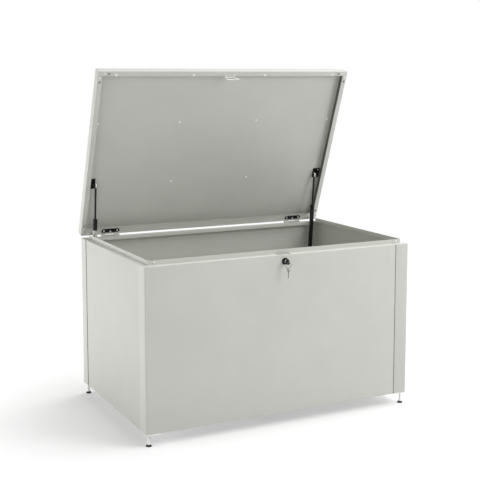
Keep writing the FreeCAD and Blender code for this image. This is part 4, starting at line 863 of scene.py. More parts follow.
class GARDENBOX_OT_wall_sheets(Operator):
    """Fold the two wall sheets with their flanges, ledges and rain rims"""
    bl_idname = "gardenbox.wall_sheets"
    bl_label = "Wall sheets"

    def sections(self, w):
        """Skins of the sheet with a bare ledge, with the rain rim and with the turned-down back edge."""
        s, ledge_z, before_rim = w.sheet, w.top - w.rim_rise, 1.8 * MM
        shelf, rim, turn = ledge_z - s / 2, w.ledge + s / 2, w.back_ledge - s / 2
        shared = [(w.flange, w.base + s / 2), (s / 2, w.base + s / 2), (s / 2, shelf),
                  (w.ledge - before_rim, shelf)]
        ends = ([], [(rim, shelf), (rim, w.top)], [(turn, shelf), (turn, ledge_z - w.back_turn)])
        return [bent_sheet(shared + end, w.fold, s) for end in ends]

    def ease(self, w):
        """Distances from a seam over which the sheet's edge is rounded."""
        return [w.seam_ease * part for part in (0, 0.08, 0.25, 0.55, 1.0)]

    def eased(self, w, section, from_seam):
        """Section at a distance from a seam, its outer edge rounded over."""
        r = w.seam_ease
        if from_seam is None or from_seam >= r:
            return section
        depth = r - math.sqrt(r * r - (r - from_seam) ** 2)
        return [(max(o, depth), z) for o, z in section]

    def run(self, shape, w, skins, stations, caps):
        """Skin a stretch of sheet along its stations, each a place and its distance from a seam."""
        section = skins[0] + skins[1][::-1]
        shape.loft([[(*place(o, o), z) for o, z in self.eased(w, section, from_seam)]
                    for place, from_seam in stations], caps=caps)

    def bend(self, w, corner, first, second):
        """Stations round an upright corner."""
        steps = 8
        return [(turned_corner(corner, first, second, w.corner, i / steps), None) for i in range(steps + 1)]

    def bush_hole(self, cutter, box, sx, sy):
        """The cutter with the hole for a foot's bush added."""
        w, feet = box.walls, box.feet
        r, s = feet.bush + FIT, w.sheet
        place = (sx * (w.width / 2 - feet.inset), sy * (w.depth / 2 - feet.inset), 0)
        return cutter.lathe([(r, w.base - 2 * s), (r, w.base + 3 * s)], Matrix.Translation(place))

    def front_openings(self, box):
        """Cutter of the strike's slot in the ledge, the lock's hole and the left foot's hole."""
        w, lock = box.walls, box.lock
        y, s, ledge_z = w.depth / 2, w.sheet, w.top - w.rim_rise
        slot, near, far, corner = lock.strike_width / 2 + 4 * MM, 7.5 * MM, 26 * MM, 3 * MM
        hole, reach = lock.body + FIT, 5 * MM
        made = Shape()
        made.plate([rectangle(-slot, -y + near, slot, -y + far, corner)], ledge_z - 3 * s, ledge_z + s)
        made.lathe([(hole, -reach), (hole, reach)], axis_frame((0, -y, lock.height), FORWARD))
        return self.bush_hole(made, box, -1, -1)

    def front_left(self, box, rim):
        """One sheet from the front seam round to the left seam, with its laps and the dark strips in its
        joints, which are painted shade.
        """
        w, ease = box.walls, self.ease(box.walls)
        x, y, s, ledge_z = w.width / 2, w.depth / 2, w.sheet, w.top - w.rim_rise
        seam_x, seam_y = x - w.strip - w.seam, y - w.strip - w.side_seam
        sheet = Shape()
        self.run(sheet, w, rim,
                 [(straight((seam_x - d, -y), FROM_FRONT), d) for d in ease]
                 + self.bend(w, (-x, -y), FROM_FRONT, FROM_LEFT)
                 + [(straight((-x, w.strip - y), FROM_LEFT), None)]
                 + [(straight((-x, seam_y - d), FROM_LEFT), d) for d in reversed(ease)], ("full", "full"))
        sheet = sheet.without(self.front_openings(box))
        # faces of the left side between its strips take the darker coat, which is painted shade
        for face in sheet.bm.faces:
            middle = face.calc_center_median()
            if middle.x < -x + s / 4 and middle.y > w.strip - y:
                face.material_index = 2
        before, past, corner_lap, gap = 14 * MM, 26 * MM, 42 * MM, 0.02 * MM
        low_z, high_z = w.base + s + gap, ledge_z - s - gap
        start, stop = seam_x - before, seam_x + (w.seam + past)
        rim_y, corner_x = -y + w.ledge + s, -x + w.ledge + s
        # laps behind the front seam, the left seam, the rim's joint and the rim's corner
        for low, high in (
                ((start, -y + s, low_z), (stop, -y + 2 * s, high_z)),
                ((-x + s, seam_y - before, low_z), (-x + 2 * s, seam_y + (w.side_seam + past), high_z)),
                ((start, rim_y, ledge_z), (stop, rim_y + s, w.top)),
                ((corner_x, rim_y, ledge_z), (corner_x + corner_lap, rim_y + s, w.top))):
            sheet.block(low, high)
        # dark strips in the front seam and the left seam: painted shade standing in for the shadow in the
        # gaps
        for low, high in (
                ((seam_x + gap, -y + w.dark_strip_in, low_z), (seam_x + w.seam - gap, -y + s, high_z)),
                ((-x + w.dark_strip_in, seam_y + gap, low_z), (-x + s, seam_y + w.side_seam - gap, high_z))):
            sheet.copy_in(Shape().block(low, high), finish=1)
        return sheet

    def back_right(self, box, flat, rim, turn):
        """The other sheet, from the front seam round the right and the back to the left strip."""
        w, ease = box.walls, self.ease(box.walls)
        x, y, common = w.width / 2, w.depth / 2, len(flat[0])
        rim_stop, mitre = y - w.rim_end, x - 36 * MM

        def beyond(skins):
            """Points of a section past those that all sections share."""
            return common - 1, 2 * len(skins[0]) - common

        right_end = [(straight((x, rim_stop), FROM_RIGHT), None)]
        left_end = [(straight((-x, rim_stop), FROM_LEFT), None)]
        right_mitre = [(straight((mitre, y), FROM_BACK), None)]
        left_mitre = [(straight((-mitre, y), FROM_BACK), None)]
        front_seam = [(straight((x - w.strip + d, -y), FROM_FRONT), d) for d in ease]
        left_seam = [(straight((-x, y - w.strip + d), FROM_LEFT), d) for d in reversed(ease)]
        sheet = Shape()
        self.run(sheet, w, rim, front_seam + self.bend(w, (x, -y), FROM_FRONT, FROM_RIGHT) + right_end,
                 ("full", beyond(rim)))
        self.run(sheet, w, flat, right_end + self.bend(w, (x, y), FROM_RIGHT, FROM_BACK) + right_mitre,
                 (None, None))
        self.run(sheet, w, turn, right_mitre + left_mitre, (beyond(turn), beyond(turn)))
        self.run(sheet, w, flat, left_mitre + self.bend(w, (-x, y), FROM_BACK, FROM_LEFT) + left_end,
                 (None, None))
        self.run(sheet, w, rim, left_end + left_seam, (beyond(rim), "full"))
        cutter = Shape()
        for sx, sy in ((1, -1), (-1, 1), (1, 1)):
            self.bush_hole(cutter, box, sx, sy)
        return sheet.without(cutter)

    def execute(self, context):
        box = context.scene.garden_box
        flat, rim, turn = self.sections(box.walls)
        # the sheet's further finishes are the dark joint strips and the darker left side, both painted
        # shade
        set_piece(context, "folded_sheet_front_left", self.front_left(box, rim), ["wall_sheet_front_left"],
                  "grey_paint", more=("rubber", "panel"))
        set_piece(context, "folded_sheet_back_right", self.back_right(box, flat, rim, turn),
                  ["wall_sheet_back_right"], "grey_paint")
        return {"FINISHED"}


class GARDENBOX_OT_floor(Operator):
    """Lay the floor panel on the bottom flanges, with the folded rail under it"""
    bl_idname = "gardenbox.floor"
    bl_label = "Floor and rail"

    def sheet(self, w, low):
        """Floor sheet, notched at its corners for the feet."""
        x, y = w.width / 2 - w.floor_in, w.depth / 2 - w.floor_in
        nx, ny, r = x - w.floor_notch, y - w.floor_notch, 2 * MM
        outline = [(-nx, -y, r), (nx, -y, r), (nx, -ny, r), (x, -ny, r), (x, ny, r), (nx, ny, r),
                   (nx, y, r), (-nx, y, r), (-nx, ny, r), (-x, ny, r), (-x, -ny, r), (-nx, -ny, r)]
        return Shape().plate([rounded(outline)], low, low + w.sheet)

    def rail(self, w, low):
        """Channel from front to back, its legs tapered at the ends."""
        s, half, end = w.sheet, w.rail_width / 2 - w.sheet / 2, w.depth / 2 - w.flange
        top, foot, short = low - s / 2, low - w.rail_height, 3 * MM
        rings = []
        for y, leg in ((-end, top - short), (-end + w.rail_taper, foot), (end - w.rail_taper, foot),
                       (end, top - short)):
            section = sheet_ring([(-half, leg), (-half, top), (half, top), (half, leg)], w.fold, s)
            rings.append([(x, y, z) for x, z in section])
        return Shape().solid(rings)

    def execute(self, context):
        w = context.scene.garden_box.walls
        low = w.base + w.sheet
        set_piece(context, "floor_sheet", self.sheet(w, low), ["floor_panel"], "zinc")
        set_piece(context, "floor_stiffener", self.rail(w, low), ["floor_rail"], "zinc")
        return {"FINISHED"}


class GARDENBOX_OT_feet(Operator):
    """Make the four levelling feet: plate with bush, threaded stud and moulded pad"""
    bl_idname = "gardenbox.feet"
    bl_label = "Levelling feet"

    def plate(self, box, sx, sy, here):
        """Plate under a corner with the stud's bush standing on it."""
        w, feet = box.walls, box.feet
        x, y = w.width / 2, w.depth / 2
        far_x, far_y = (x - feet.plate_in) * sx, (y - feet.plate_in) * sy
        x0, x1 = sorted((far_x, far_x - feet.plate * sx))
        y0, y1 = sorted((far_y, far_y - feet.plate * sy))
        bore, corner, steps = feet.stud + FIT, 5 * MM, 32
        hole = circle((x - feet.inset) * sx, (y - feet.inset) * sy, bore, steps)
        r, top, outer, inner = feet.bush, w.base + feet.bush_top, 0.8 * MM, 0.6 * MM
        bush = [(bore, w.base), (r, w.base), (r, top - outer), (r - outer, top), (bore + inner, top),
                (bore, top - inner)]
        made = Shape()
        made.plate([rectangle(x0, y0, x1, y1, corner), hole], w.base - feet.plate_thick, w.base, 0.4 * MM)
        return made.lathe(bush, here, steps, closed=True)

    def stud(self, feet):
        """Plain shank, thread with a chamfered top, and a spanner hexagon above the pad."""
        steps, per_turn, chamfer = 28, 7, 1.2 * MM
        deep, tall = feet.pitch * 0.55, feet.stud_top - feet.stud_low
        count = int(tall / feet.pitch * per_turn)
        rings = []
        for i in range(count + 1):
            h = feet.stud_low + tall * i / count
            edge = min(1.0, (feet.stud_top - h) / chamfer) * chamfer
            cut = deep * max(0.0, min(1.0, (h - feet.plain) / feet.pitch))
            ring = []
            for j, turn in enumerate(spokes(steps)):
                phase = (h / feet.pitch - j / steps) % 1.0
                r = feet.stud - cut * min(1.0, abs(phase * 2 - 1) * 1.15) * 0.9
                r = min(r, feet.stud - chamfer + edge)
                ring.append((r * math.cos(turn), r * math.sin(turn), h))
            rings.append(ring)
        nut, low, high, soft = 9.0 * MM, feet.pad_height, feet.pad_height + 5 * MM, 0.5 * MM
        return Shape().solid(rings).plate([hexagon(nut, soft)], low, high, soft)

    def pad(self, feet):
        """Moulded pad with a hollow sole, a grooved rim and a sloped shoulder."""
        r, h, stud = feet.pad, feet.pad_height, feet.stud
        sole = [(0, 0.5 * MM), (r * 0.6, 0.5 * MM), (r * 0.66, 0), (r - 0.9 * MM, 0)]
        rim = [(r - 0.2 * MM, 0.3 * MM), (r, 1.0 * MM), (r, 2.0 * MM)]
        groove = [(r - 0.5 * MM, 2.2 * MM), (r - 0.5 * MM, 2.6 * MM), (r, 2.8 * MM)]
        shoulder = [(r, 4.0 * MM), (r - 0.6 * MM, 4.7 * MM), (r * 0.72, 6.9 * MM), (r * 0.62, h - 0.5 * MM),
                    (r * 0.58, h)]
        socket = [(stud + 0.1 * MM, h), (stud, h - 0.6 * MM), (stud, feet.stud_low), (0, feet.stud_low)]
        return Shape().lathe(sole + rim + groove + shoulder + socket, steps=48)

    def execute(self, context):
        box = context.scene.garden_box
        w, feet = box.walls, box.feet
        for corner, sx, sy in CORNERS:
            here = Matrix.Translation(((w.width / 2 - feet.inset) * sx, (w.depth / 2 - feet.inset) * sy, 0))
            set_piece(context, f"levelling_plate_{corner}", self.plate(box, sx, sy, here),
                      [f"foot_bracket_{corner}"], "zinc", finish="bright_steel")
            set_piece(context, f"levelling_stud_{corner}", self.stud(feet), [f"foot_stud_{corner}"], "zinc",
                      here, finish="bright_steel")
            set_piece(context, f"levelling_pad_{corner}", self.pad(feet), [f"foot_pad_{corner}"],
                      "black_plastic", here)
        return {"FINISHED"}


class GARDENBOX_OT_lid(Operator):
    """Fold the lid pan with its lips and lay the cover sheet over it"""
    bl_idname = "gardenbox.lid"
    bl_label = "Lid"

    def pan(self, w, lid):
        """Tray with inward lips; behind them the outer strip of the panel is painted darker, as painted
        shade.
        """
        s, x, inner, steps = w.sheet, lid.half, 14 * MM, 6
        top, bottom = lid.high - s / 2, lid.low + s / 2
        plain, rear = [sheet_ring([(inner, top), (s / 2, top), (s / 2, bottom), (lip, bottom)], w.fold, s)
                       for lip in (lid.lip, lid.rear_lip)]
        # anticlockwise from the front right corner, y towards the hinge line
        corners = (((x, -lid.front), FROM_FRONT, FROM_RIGHT, plain, plain),
                   ((x, -lid.rear), FROM_RIGHT, FROM_BACK, plain, rear),
                   ((-x, -lid.rear), FROM_BACK, FROM_LEFT, rear, plain),
                   ((-x, -lid.front), FROM_LEFT, FROM_FRONT, plain, plain))
        rings = []
        for corner, first, second, one, two in corners:
            for i in range(steps + 1):
                place = turned_corner(corner, first, second, lid.corner, i / steps)
                rings.append([(*place(a, b), h) for (a, h), (b, _) in zip(one, two)])
        made = Shape()
        rows = made.loft(rings, ring_closed=False, path_closed=True)
        for end in (0, -1):
            made.bm.faces.new([row[end] for row in rows[::steps + 1]])
        # faces of the panel's outer strip behind the lips take the painted shade
        for face in made.bm.faces:
            middle = face.calc_center_median()
            edge = min(x - abs(middle.x), middle.y + lid.front, -lid.rear - middle.y)
            if s / 2 < edge < inner and s / 2 < lid.high - middle.z < s + 2 * w.fold:
                face.material_index = 1
        return made

    def cover(self, lid):
        """Thin sheet over the pan."""
        x, edge = lid.half, lid.cover_in
        outline = rectangle(-x + edge, -lid.front + edge, x - edge, -lid.rear - edge, lid.corner)
        return Shape().plate([outline], lid.high, lid.high + lid.cover)

    def execute(self, context):
        box = context.scene.garden_box
        at = lid_frame(box.lid)
        # the pan's second finish is the painted shade behind its lips
        set_piece(context, "lid_pan", self.pan(box.walls, box.lid), ["lid_tray"], "grey_paint", at,
                  more=("channel",))
        set_piece(context, "lid_cover", self.cover(box.lid), ["lid_cover_sheet"], "grey_paint", at)
        return {"FINISHED"}


class GARDENBOX_OT_lid_corners(Operator):
    """Fit the lid's corner plates with their screws and rubber buffers"""
    bl_idname = "gardenbox.lid_corners"
    bl_label = "Lid corner plates"

    def spot(self, lid, sx, sy, along_x, along_y):
        """Point of the lid, measured inwards from one of its corners."""
        edge_y = -lid.front if sy < 0 else -lid.rear
        return lid.half * sx - along_x * sx, edge_y - along_y * sy

    def execute(self, context):
        box = context.scene.garden_box
        lid, at = box.lid, lid_frame(box.lid)
        low = lid.low - lid.plate_thick
        i, leg, wide = lid.plate_in, lid.plate_leg, lid.plate_width
        tip, end, inside = 2 * MM, 4 * MM, 3 * MM
        outline = ((i, i, tip), (leg, i, end), (leg, wide, end), (wide, wide, inside), (wide, leg, end),
                   (i, leg, end))
        r, tall, line = lid.buffer, low + lid.buffer_low, lid.plate_line
        buffer = [(0, 0), (r, 0), (r, tall * 0.35), (r * 0.92, tall * 0.5), (r * 0.86, tall * 0.86),
                  (r * 0.72, tall * 0.97), (r * 0.5, tall), (0, tall * 0.97)]
        screws, buffers = [], Shape()
        for corner, sx, sy in CORNERS:
            points = [(*self.spot(lid, sx, sy, a, b), soft) for a, b, soft in outline]
            if sx * sy < 0:
                points.reverse()
            plate = Shape().plate([rounded(points)], low, lid.low, 0.3 * MM)
            set_piece(context, f"lid_brace_{corner}", plate, [f"lid_corner_plate_{corner}"], "grey_paint",
                      at)
            for a, b in ((lid.plate_screw, line), (line, lid.plate_screw)):
                screws.append(((*self.spot(lid, sx, sy, a, b), low), DOWN))
            for a, b in ((lid.plate_buffer, line), (line, lid.plate_buffer)):
                place = (*self.spot(lid, sx, sy, a, b), low)
                buffers.lathe(buffer, axis_frame(place, DOWN), FASTENER_STEPS)
        set_fasteners(context, "lid_brace_screws", cross_screw(box.fasteners, lid.plate_thick + SCREW_BITE),
                      screws, "lid_corner_screws", at)
        set_piece(context, "lid_bumpers", buffers, ["lid_buffers"], "rubber", at, finish="buffer")
        return {"FINISHED"}


class GARDENBOX_OT_rivets(Operator):
    """Set the rivets of the lid's panel and lip and of the rain rim"""
    bl_idname = "gardenbox.rivets"
    bl_label = "Lid and rim rivets"

    def execute(self, context):
        box = context.scene.garden_box
        w, lid, fasteners = box.walls, box.lid, box.fasteners
        # millimetres before the hinge line and to either side of the middle
        panel_rows, lip_row = ((590, (213, 636)), (265, (213,))), (195, 587)
        from_lip, rim_left, rim_right, rim_grip = 5 * MM, 55 * MM, 52 * MM, 3.2 * MM
        places = []
        for row, offsets in panel_rows:
            for out in offsets:
                places += [((side * out * MM, -row * MM, lid.high - w.sheet), DOWN) for _, side in SIDES]
        lip_y = -lid.front + lid.lip - from_lip
        for out in lip_row:
            places += [((side * out * MM, lip_y, lid.low), DOWN) for _, side in SIDES]
        set_fasteners(context, "lid_capped_rivets", capped_rivet(fasteners, w.sheet + lid.cover), places,
                      "lid_rivets", lid_frame(lid), "cap")
        y, z = -w.depth / 2 + w.ledge, w.top - w.rim_rise / 2
        places = [((x, y, z), FORWARD) for x in (-w.width / 2 + rim_left, w.width / 2 - rim_right)]
        set_fasteners(context, "rim_blind_rivets", blind_rivet(fasteners, rim_grip), places, "rim_rivets")
        return {"FINISHED"}


class GARDENBOX_OT_hinges(Operator):
    """Make the two butt hinges with their leaves, pins and screws"""
    bl_idname = "gardenbox.hinges"
    bl_label = "Hinges"

    def knuckle(self, shape, hinge, start, stop, at=Matrix.Identity(4)):
        """The shape with a rolled knuckle along X between two places."""
        r, bore, e = hinge.knuckle, hinge.pin + FIT, 0.3 * MM
        profile = [(bore, start), (r - e, start), (r, start + e), (r, stop - e), (r - e, stop),
                   (bore, stop)]
        return shape.lathe(profile, at @ ALONG_X, FASTENER_STEPS, closed=True)

    def lid_leaf(self, lid, hinge, near, far, ends, middle):
        """Round-ended screw plate on two straps, each rolled into a knuckle."""
        under, strap_in, strap_out = lid.low - hinge.thick, 3 * MM, 1.0 * MM
        plate = rectangle(ends[0], far, ends[1], near, hinge.plate_width * 0.49)
        straps = Shape()
        for start, stop in ((ends[0], middle[0] - hinge.gap), (middle[1] + hinge.gap, ends[1])):
            straps.plate([rectangle(start, far + strap_in, stop, -strap_out)], under, lid.low, 0.25 * MM)
            self.knuckle(straps, hinge, start, stop)
        return Shape().plate([plate], under - hinge.plate_thick, under, 0.3 * MM).copy_in(straps, finish=1)

    def wall_leaf(self, w, lid, hinge, line, ends, middle):
        """Leaf on the back wall with the middle knuckle."""
        (x0, x1), (c0, c1), r, y = ends, middle, hinge.corner, w.depth / 2
        low, top = lid.hinge_z - hinge.reach, lid.hinge_z - 1.0 * MM
        notch = lid.hinge_z - (hinge.knuckle + hinge.clear)
        outline = rounded([(x0, low, r), (x1, low, r), (x1, notch, 0), (c1, notch, 0), (c1, top, 0),
                           (c0, top, 0), (c0, notch, 0), (x0, notch, 0)])
        made = Shape().plate([outline], -y - hinge.thick, -y, 0.25 * MM, FRONT_PLATE)
        return made.copy_in(self.knuckle(Shape(), hinge, c0, c1, line), finish=1)

    def pin(self, hinge, line, ends):
        """Pin through the knuckles with a head at each end."""
        h, r, head, e = hinge.pin_head_thick, hinge.pin, hinge.pin_head, 0.4 * MM
        a, b = ends[0] - hinge.gap - h, ends[1] + hinge.gap + h
        profile = [(0, a), (head - e, a), (head, a + e), (head, a + h), (r, a + h), (r, b - h),
                   (head, b - h), (head, b - e), (head - e, b), (0, b)]
        return Shape().lathe(profile, line @ ALONG_X, FASTENER_STEPS)

    def execute(self, context):
        box = context.scene.garden_box
        w, lid, hinge, at = box.walls, box.lid, box.hinges, lid_frame(box.lid)
        line = Matrix.Translation((0, lid.hinge_y, lid.hinge_z))
        near, far = -hinge.plate_in, -hinge.plate_in - hinge.plate_width
        face = lid.low - hinge.thick - hinge.plate_thick
        lid_screws, wall_screws = [], []
        for name, side in SIDES:
            mid = (w.width / 2 - hinge.inset) * side
            ends, middle = [(mid - wide / 2, mid + wide / 2) for wide in (hinge.leaf, hinge.middle)]
            set_piece(context, f"hinge_upper_leaf_{name}",
                      self.lid_leaf(lid, hinge, near, far, ends, middle), [f"hinge_lid_leaf_{name}"],
                      "black_paint", at, more=("grey_paint",))
            set_piece(context, f"hinge_lower_leaf_{name}",
                      self.wall_leaf(w, lid, hinge, line, ends, middle), [f"hinge_wall_leaf_{name}"],
                      "black_paint", more=("grey_paint",))
            set_piece(context, f"hinge_rod_{name}", self.pin(hinge, line, ends), [f"hinge_pin_{name}"],
                      "bright_steel")
            for step in (-1, 0, 1):
                x, nearer = mid + step * hinge.screw_step, 0 if step else hinge.screw_mid
                lid_screws.append(((x, (near + far) / 2 + nearer, face), DOWN))
                wall_screws.append(((x, w.depth / 2 + hinge.thick, lid.hinge_z - hinge.screw_in + nearer),
                                    BACKWARD))
        grip = hinge.thick + SCREW_BITE
        set_fasteners(context, "hinge_upper_screws", cross_screw(box.fasteners, grip), lid_screws,
                      "hinge_screws_lid", at)
        set_fasteners(context, "hinge_lower_screws", cross_screw(box.fasteners, grip), wall_screws,
                      "hinge_screws_wall")
        return {"FINISHED"}


class GARDENBOX_OT_struts(Operator):
    """Make the gas struts with their brackets, rivets and plain bands"""
    bl_idname = "gardenbox.struts"
    bl_label = "Gas struts"

    # breadth of the brackets' bases on the lid and on the wall, and the round of their edges
    LID_BASE, WALL_BASE, SOFT = 24 * MM, 30 * MM, 0.3 * MM

    def pivots(self, lid, strut):
        """Pins (y, z): on the lid about the hinge line, on the wall, and on the open lid."""
        opened = strut.lid_angle + lid.open
        return ((-strut.arm * math.cos(strut.lid_angle), strut.arm * math.sin(strut.lid_angle)),
                (lid.hinge_y - strut.arm * math.cos(strut.wall_angle),
                 lid.hinge_z - strut.arm * math.sin(strut.wall_angle)),
                (lid.hinge_y - strut.arm * math.cos(opened), lid.hinge_z + strut.arm * math.sin(opened)))

    def across(self, box, side, near, far):
        """Limits along X of a stretch measured inwards from a side wall."""
        x = box.walls.width / 2
        return sorted((side * (x - near), side * (x - far)))

    def eye(self, shape, strut, at):
        """The shape with a rounded eye about X."""
        r, half, bore, outer, inner = strut.eye, strut.eye_width / 2, strut.pin + FIT, 0.8 * MM, 0.4 * MM
        profile = [(bore, -half + inner), (bore + inner, -half), (r - outer, -half), (r, -half + outer),
                   (r, half - outer), (r - outer, half), (bore + inner, half), (bore, half - inner)]
        return shape.lathe(profile, at @ ALONG_X, 36, closed=True)

    def clip(self, strut):
        """Spring clip bent over an eye, its tails along the rod."""
        r, thick, half = strut.eye + 0.7 * MM, 0.8 * MM, strut.eye_width * 0.28
        tail, pinch, steps = 13 * MM, 1.4 * MM, 14
        turns = [math.pi * i / steps for i in range(steps + 1)]
        outer, inner = [
            [(q - pinch, -tail), *((q * math.cos(t), q * math.sin(t)) for t in turns), (-q + pinch, -tail)]
            for q in (r + thick / 2, r - thick / 2)]
        section = outer + inner[::-1]
        return Shape().solid([[(x, y, z) for y, z in section] for x in (-half, half)])

    def ear(self, shape, box, side, outline, y, z):
        """The shape with a bracket's ear, outlined about its pin, and the pin with collar and cap on it."""
        strut = box.struts
        ends = self.across(box, side, strut.ear_in, strut.ear_in + strut.ear)
        shape.plate([rounded(outline, 8)], *ends, self.SOFT, Matrix.Translation((0, y, z)) @ SIDE_PLATE)
        r, c, e, play, half = strut.pin, strut.cap, 0.5 * MM, 0.3 * MM, strut.eye_width / 2
        near, far = strut.inset - half - play, strut.inset + half + play
        start, out = strut.ear_in + strut.ear - e, far + 1.6 * MM
        collar = [(0, start), (c, start), (c, near - e), (c - e, near), (r, near)]
        cap = [(r, far), (c - e, far), (c, far + e), (c - 0.3 * MM, out - 0.4 * MM), (c - 1.2 * MM, out)]
        dimple = [(c * 0.45, out), (c * 0.4, out - 0.5 * MM), (0, out - 0.5 * MM)]
        at = axis_frame((side * box.walls.width / 2, y, z), (-side, 0, 0))
        return shape.lathe(collar + cap + dimple, at, 36)

    def lid_bracket(self, box, side, y, z):
        """Base on the lid's panel with an ear down to the pin."""
        strut, r, panel = box.struts, box.struts.ear_round, box.lid.high - box.walls.sheet
        half, corner, past, flare, waist = 27 * MM, 4 * MM, 2 * MM, 6 * MM, 10 * MM
        x0, x1 = self.across(box, side, strut.ear_in + strut.ear - self.LID_BASE, strut.inset + past)
        foot = panel - 1.0 * MM - z
        ear = [(-r, -r, r * 0.98), (r, -r, r * 0.98), (r, foot - waist, corner), (r + flare, foot, 0),
               (-r - flare, foot, 0), (-r, foot - waist, corner)]
        made = Shape()
        made.plate([rectangle(x0, y - half, x1, y + half, corner)], panel - strut.base, panel, self.SOFT)
        return self.ear(made, box, side, ear, y, z)

    def wall_bracket(self, box, side, y, z):
        """Base on the back wall with an ear forward to the pin."""
        strut, r, inside = box.struts, box.struts.ear_round, box.walls.depth / 2 - box.walls.sheet
        half, corner, flare, waist, bend = 30 * MM, 4 * MM, 5 * MM, 4 * MM, 3 * MM
        ear_end = strut.ear_in + strut.ear
        x0, x1 = self.across(box, side, ear_end - self.WALL_BASE, ear_end)
        back = inside - 1.0 * MM - y
        ear = [(-r, -r, r * 0.98), (back - waist, -r, bend), (back, -r - flare, 0), (back, r + flare, 0),
               (back - waist, r, bend), (-r, r, r * 0.98)]
        made = Shape()
        made.plate([rectangle(x0, z - half, x1, z + half, corner)], -inside, -inside + strut.base,
                   self.SOFT, FRONT_PLATE)
        return self.ear(made, box, side, ear, y, z)

    def barrel(self, strut, here):
        """Barrel with a neck and eye below, a rolled groove and a guide cap at its top."""
        r, low, top, neck, bore = strut.barrel, strut.barrel_low, strut.barrel_top, 4.4 * MM, 5.05 * MM
        groove, bottom = 0.7 * MM, 6 * MM
        foot = [(0, bottom), (neck, bottom), (neck, low - 1.5 * MM), (6 * MM, low), (r - 2 * MM, low),
                (r - 0.6 * MM, low + 0.6 * MM), (r, low + 2 * MM)]
        rolled = [(r, top - 26 * MM), (r - groove, top - 24.6 * MM), (r - groove, top - 22.4 * MM),
                  (r, top - 21 * MM)]
        shoulder = [(r, top - 4 * MM), (r - 0.7 * MM, top - 1.4 * MM), (r - 2.2 * MM, top - 0.4 * MM)]
        guide = [(8.2 * MM, top - 0.4 * MM), (8.0 * MM, top), (6.4 * MM, top), (5.4 * MM, top - 0.8 * MM),
                 (bore, top - 4 * MM), (bore, top - 10 * MM), (0, top - 10 * MM)]
        return self.eye(Shape().lathe(foot + rolled + shoulder + guide, here, 48), strut, here)

    def band(self, strut, side, here):
        """Plain film wrapped part of the way round the barrel."""
        facing, wrap, steps = math.radians(-112 if side < 0 else 68), math.radians(205), 24
        outer, inner = strut.barrel + 0.12 * MM, strut.barrel - 0.1 * MM
        top = strut.barrel_top - strut.band_top
        arc = [facing + wrap * (i / steps - 0.5) for i in range(steps + 1)]
        film = [(outer, t) for t in arc] + [(inner, t) for t in reversed(arc)]
        return Shape().solid([[(q * math.cos(t), q * math.sin(t), h) for q, t in film]
                              for h in (top - strut.band_length, top)], here)

    def rod(self, strut, there):
        """Rod with its eye and spring clip above and its piston below."""
        r, end, piston, neck, collar = strut.rod, strut.rod_end, 9.2 * MM, 5.2 * MM, 6.6 * MM
        profile = [(0, -5 * MM), (neck, -5 * MM), (collar, -9 * MM), (collar, -15 * MM),
                   (6.0 * MM, -16 * MM), (r, -16 * MM), (r, -end + 8 * MM), (piston, -end + 7.5 * MM),
                   (piston, -end), (0, -end)]
        return self.eye(Shape().lathe(profile, there), strut, there).copy_in(self.clip(strut), there, 1)

    def execute(self, context):
        box = context.scene.garden_box
        w, lid, strut, at = box.walls, box.lid, box.struts, lid_frame(box.lid)
        on_lid, on_wall, opened = self.pivots(lid, strut)
        lean = Matrix.Rotation((strut.wall_angle - strut.lid_angle - lid.open) / 2, 4, "X")
        ear_end = w.width / 2 - strut.ear_in - strut.ear
        lid_face, wall_face = lid.high - w.sheet - strut.base, w.depth / 2 - w.sheet - strut.base
        lid_rivets, wall_rivets = [], []
        for name, side in SIDES:
            axis_x = side * (w.width / 2 - strut.inset)
            here = Matrix.Translation((axis_x, *on_wall)) @ lean
            there = Matrix.Translation((axis_x, *opened)) @ lean
            set_piece(context, f"lid_strut_bracket_{name}", self.lid_bracket(box, side, *on_lid),
                      [f"strut_lid_bracket_{name}"], "black_paint", at)
            set_piece(context, f"wall_strut_bracket_{name}", self.wall_bracket(box, side, *on_wall),
                      [f"strut_wall_bracket_{name}"], "black_paint")
            set_piece(context, f"gas_barrel_{name}", self.barrel(strut, here), [f"strut_barrel_{name}"],
                      "black_paint")
            set_piece(context, f"gas_barrel_band_{name}", self.band(strut, side, here), [], "black_paint",
                      finish="band", body=f"barrel_{name}")
            set_piece(context, f"gas_rod_{name}", self.rod(strut, there), [f"strut_rod_{name}"],
                      "rod_steel", more=("bright_steel",))
            for step in (-strut.rivet_step, strut.rivet_step):
                lid_rivets.append(((side * (ear_end + self.LID_BASE / 2), on_lid[0] + step, lid_face),
                                   DOWN))
                wall_rivets.append(((side * (ear_end + self.WALL_BASE / 2), wall_face, on_wall[1] + step),
                                    FORWARD))
        grip, past_wall = strut.base + w.sheet, 1.2 * MM
        set_fasteners(context, "lid_strut_rivets", blind_rivet(box.fasteners, grip), lid_rivets,
                      "strut_rivets_lid", at)
        set_fasteners(context, "wall_strut_rivets", blind_rivet(box.fasteners, grip + past_wall),
                      wall_rivets, "strut_rivets_wall")
        return {"FINISHED"}


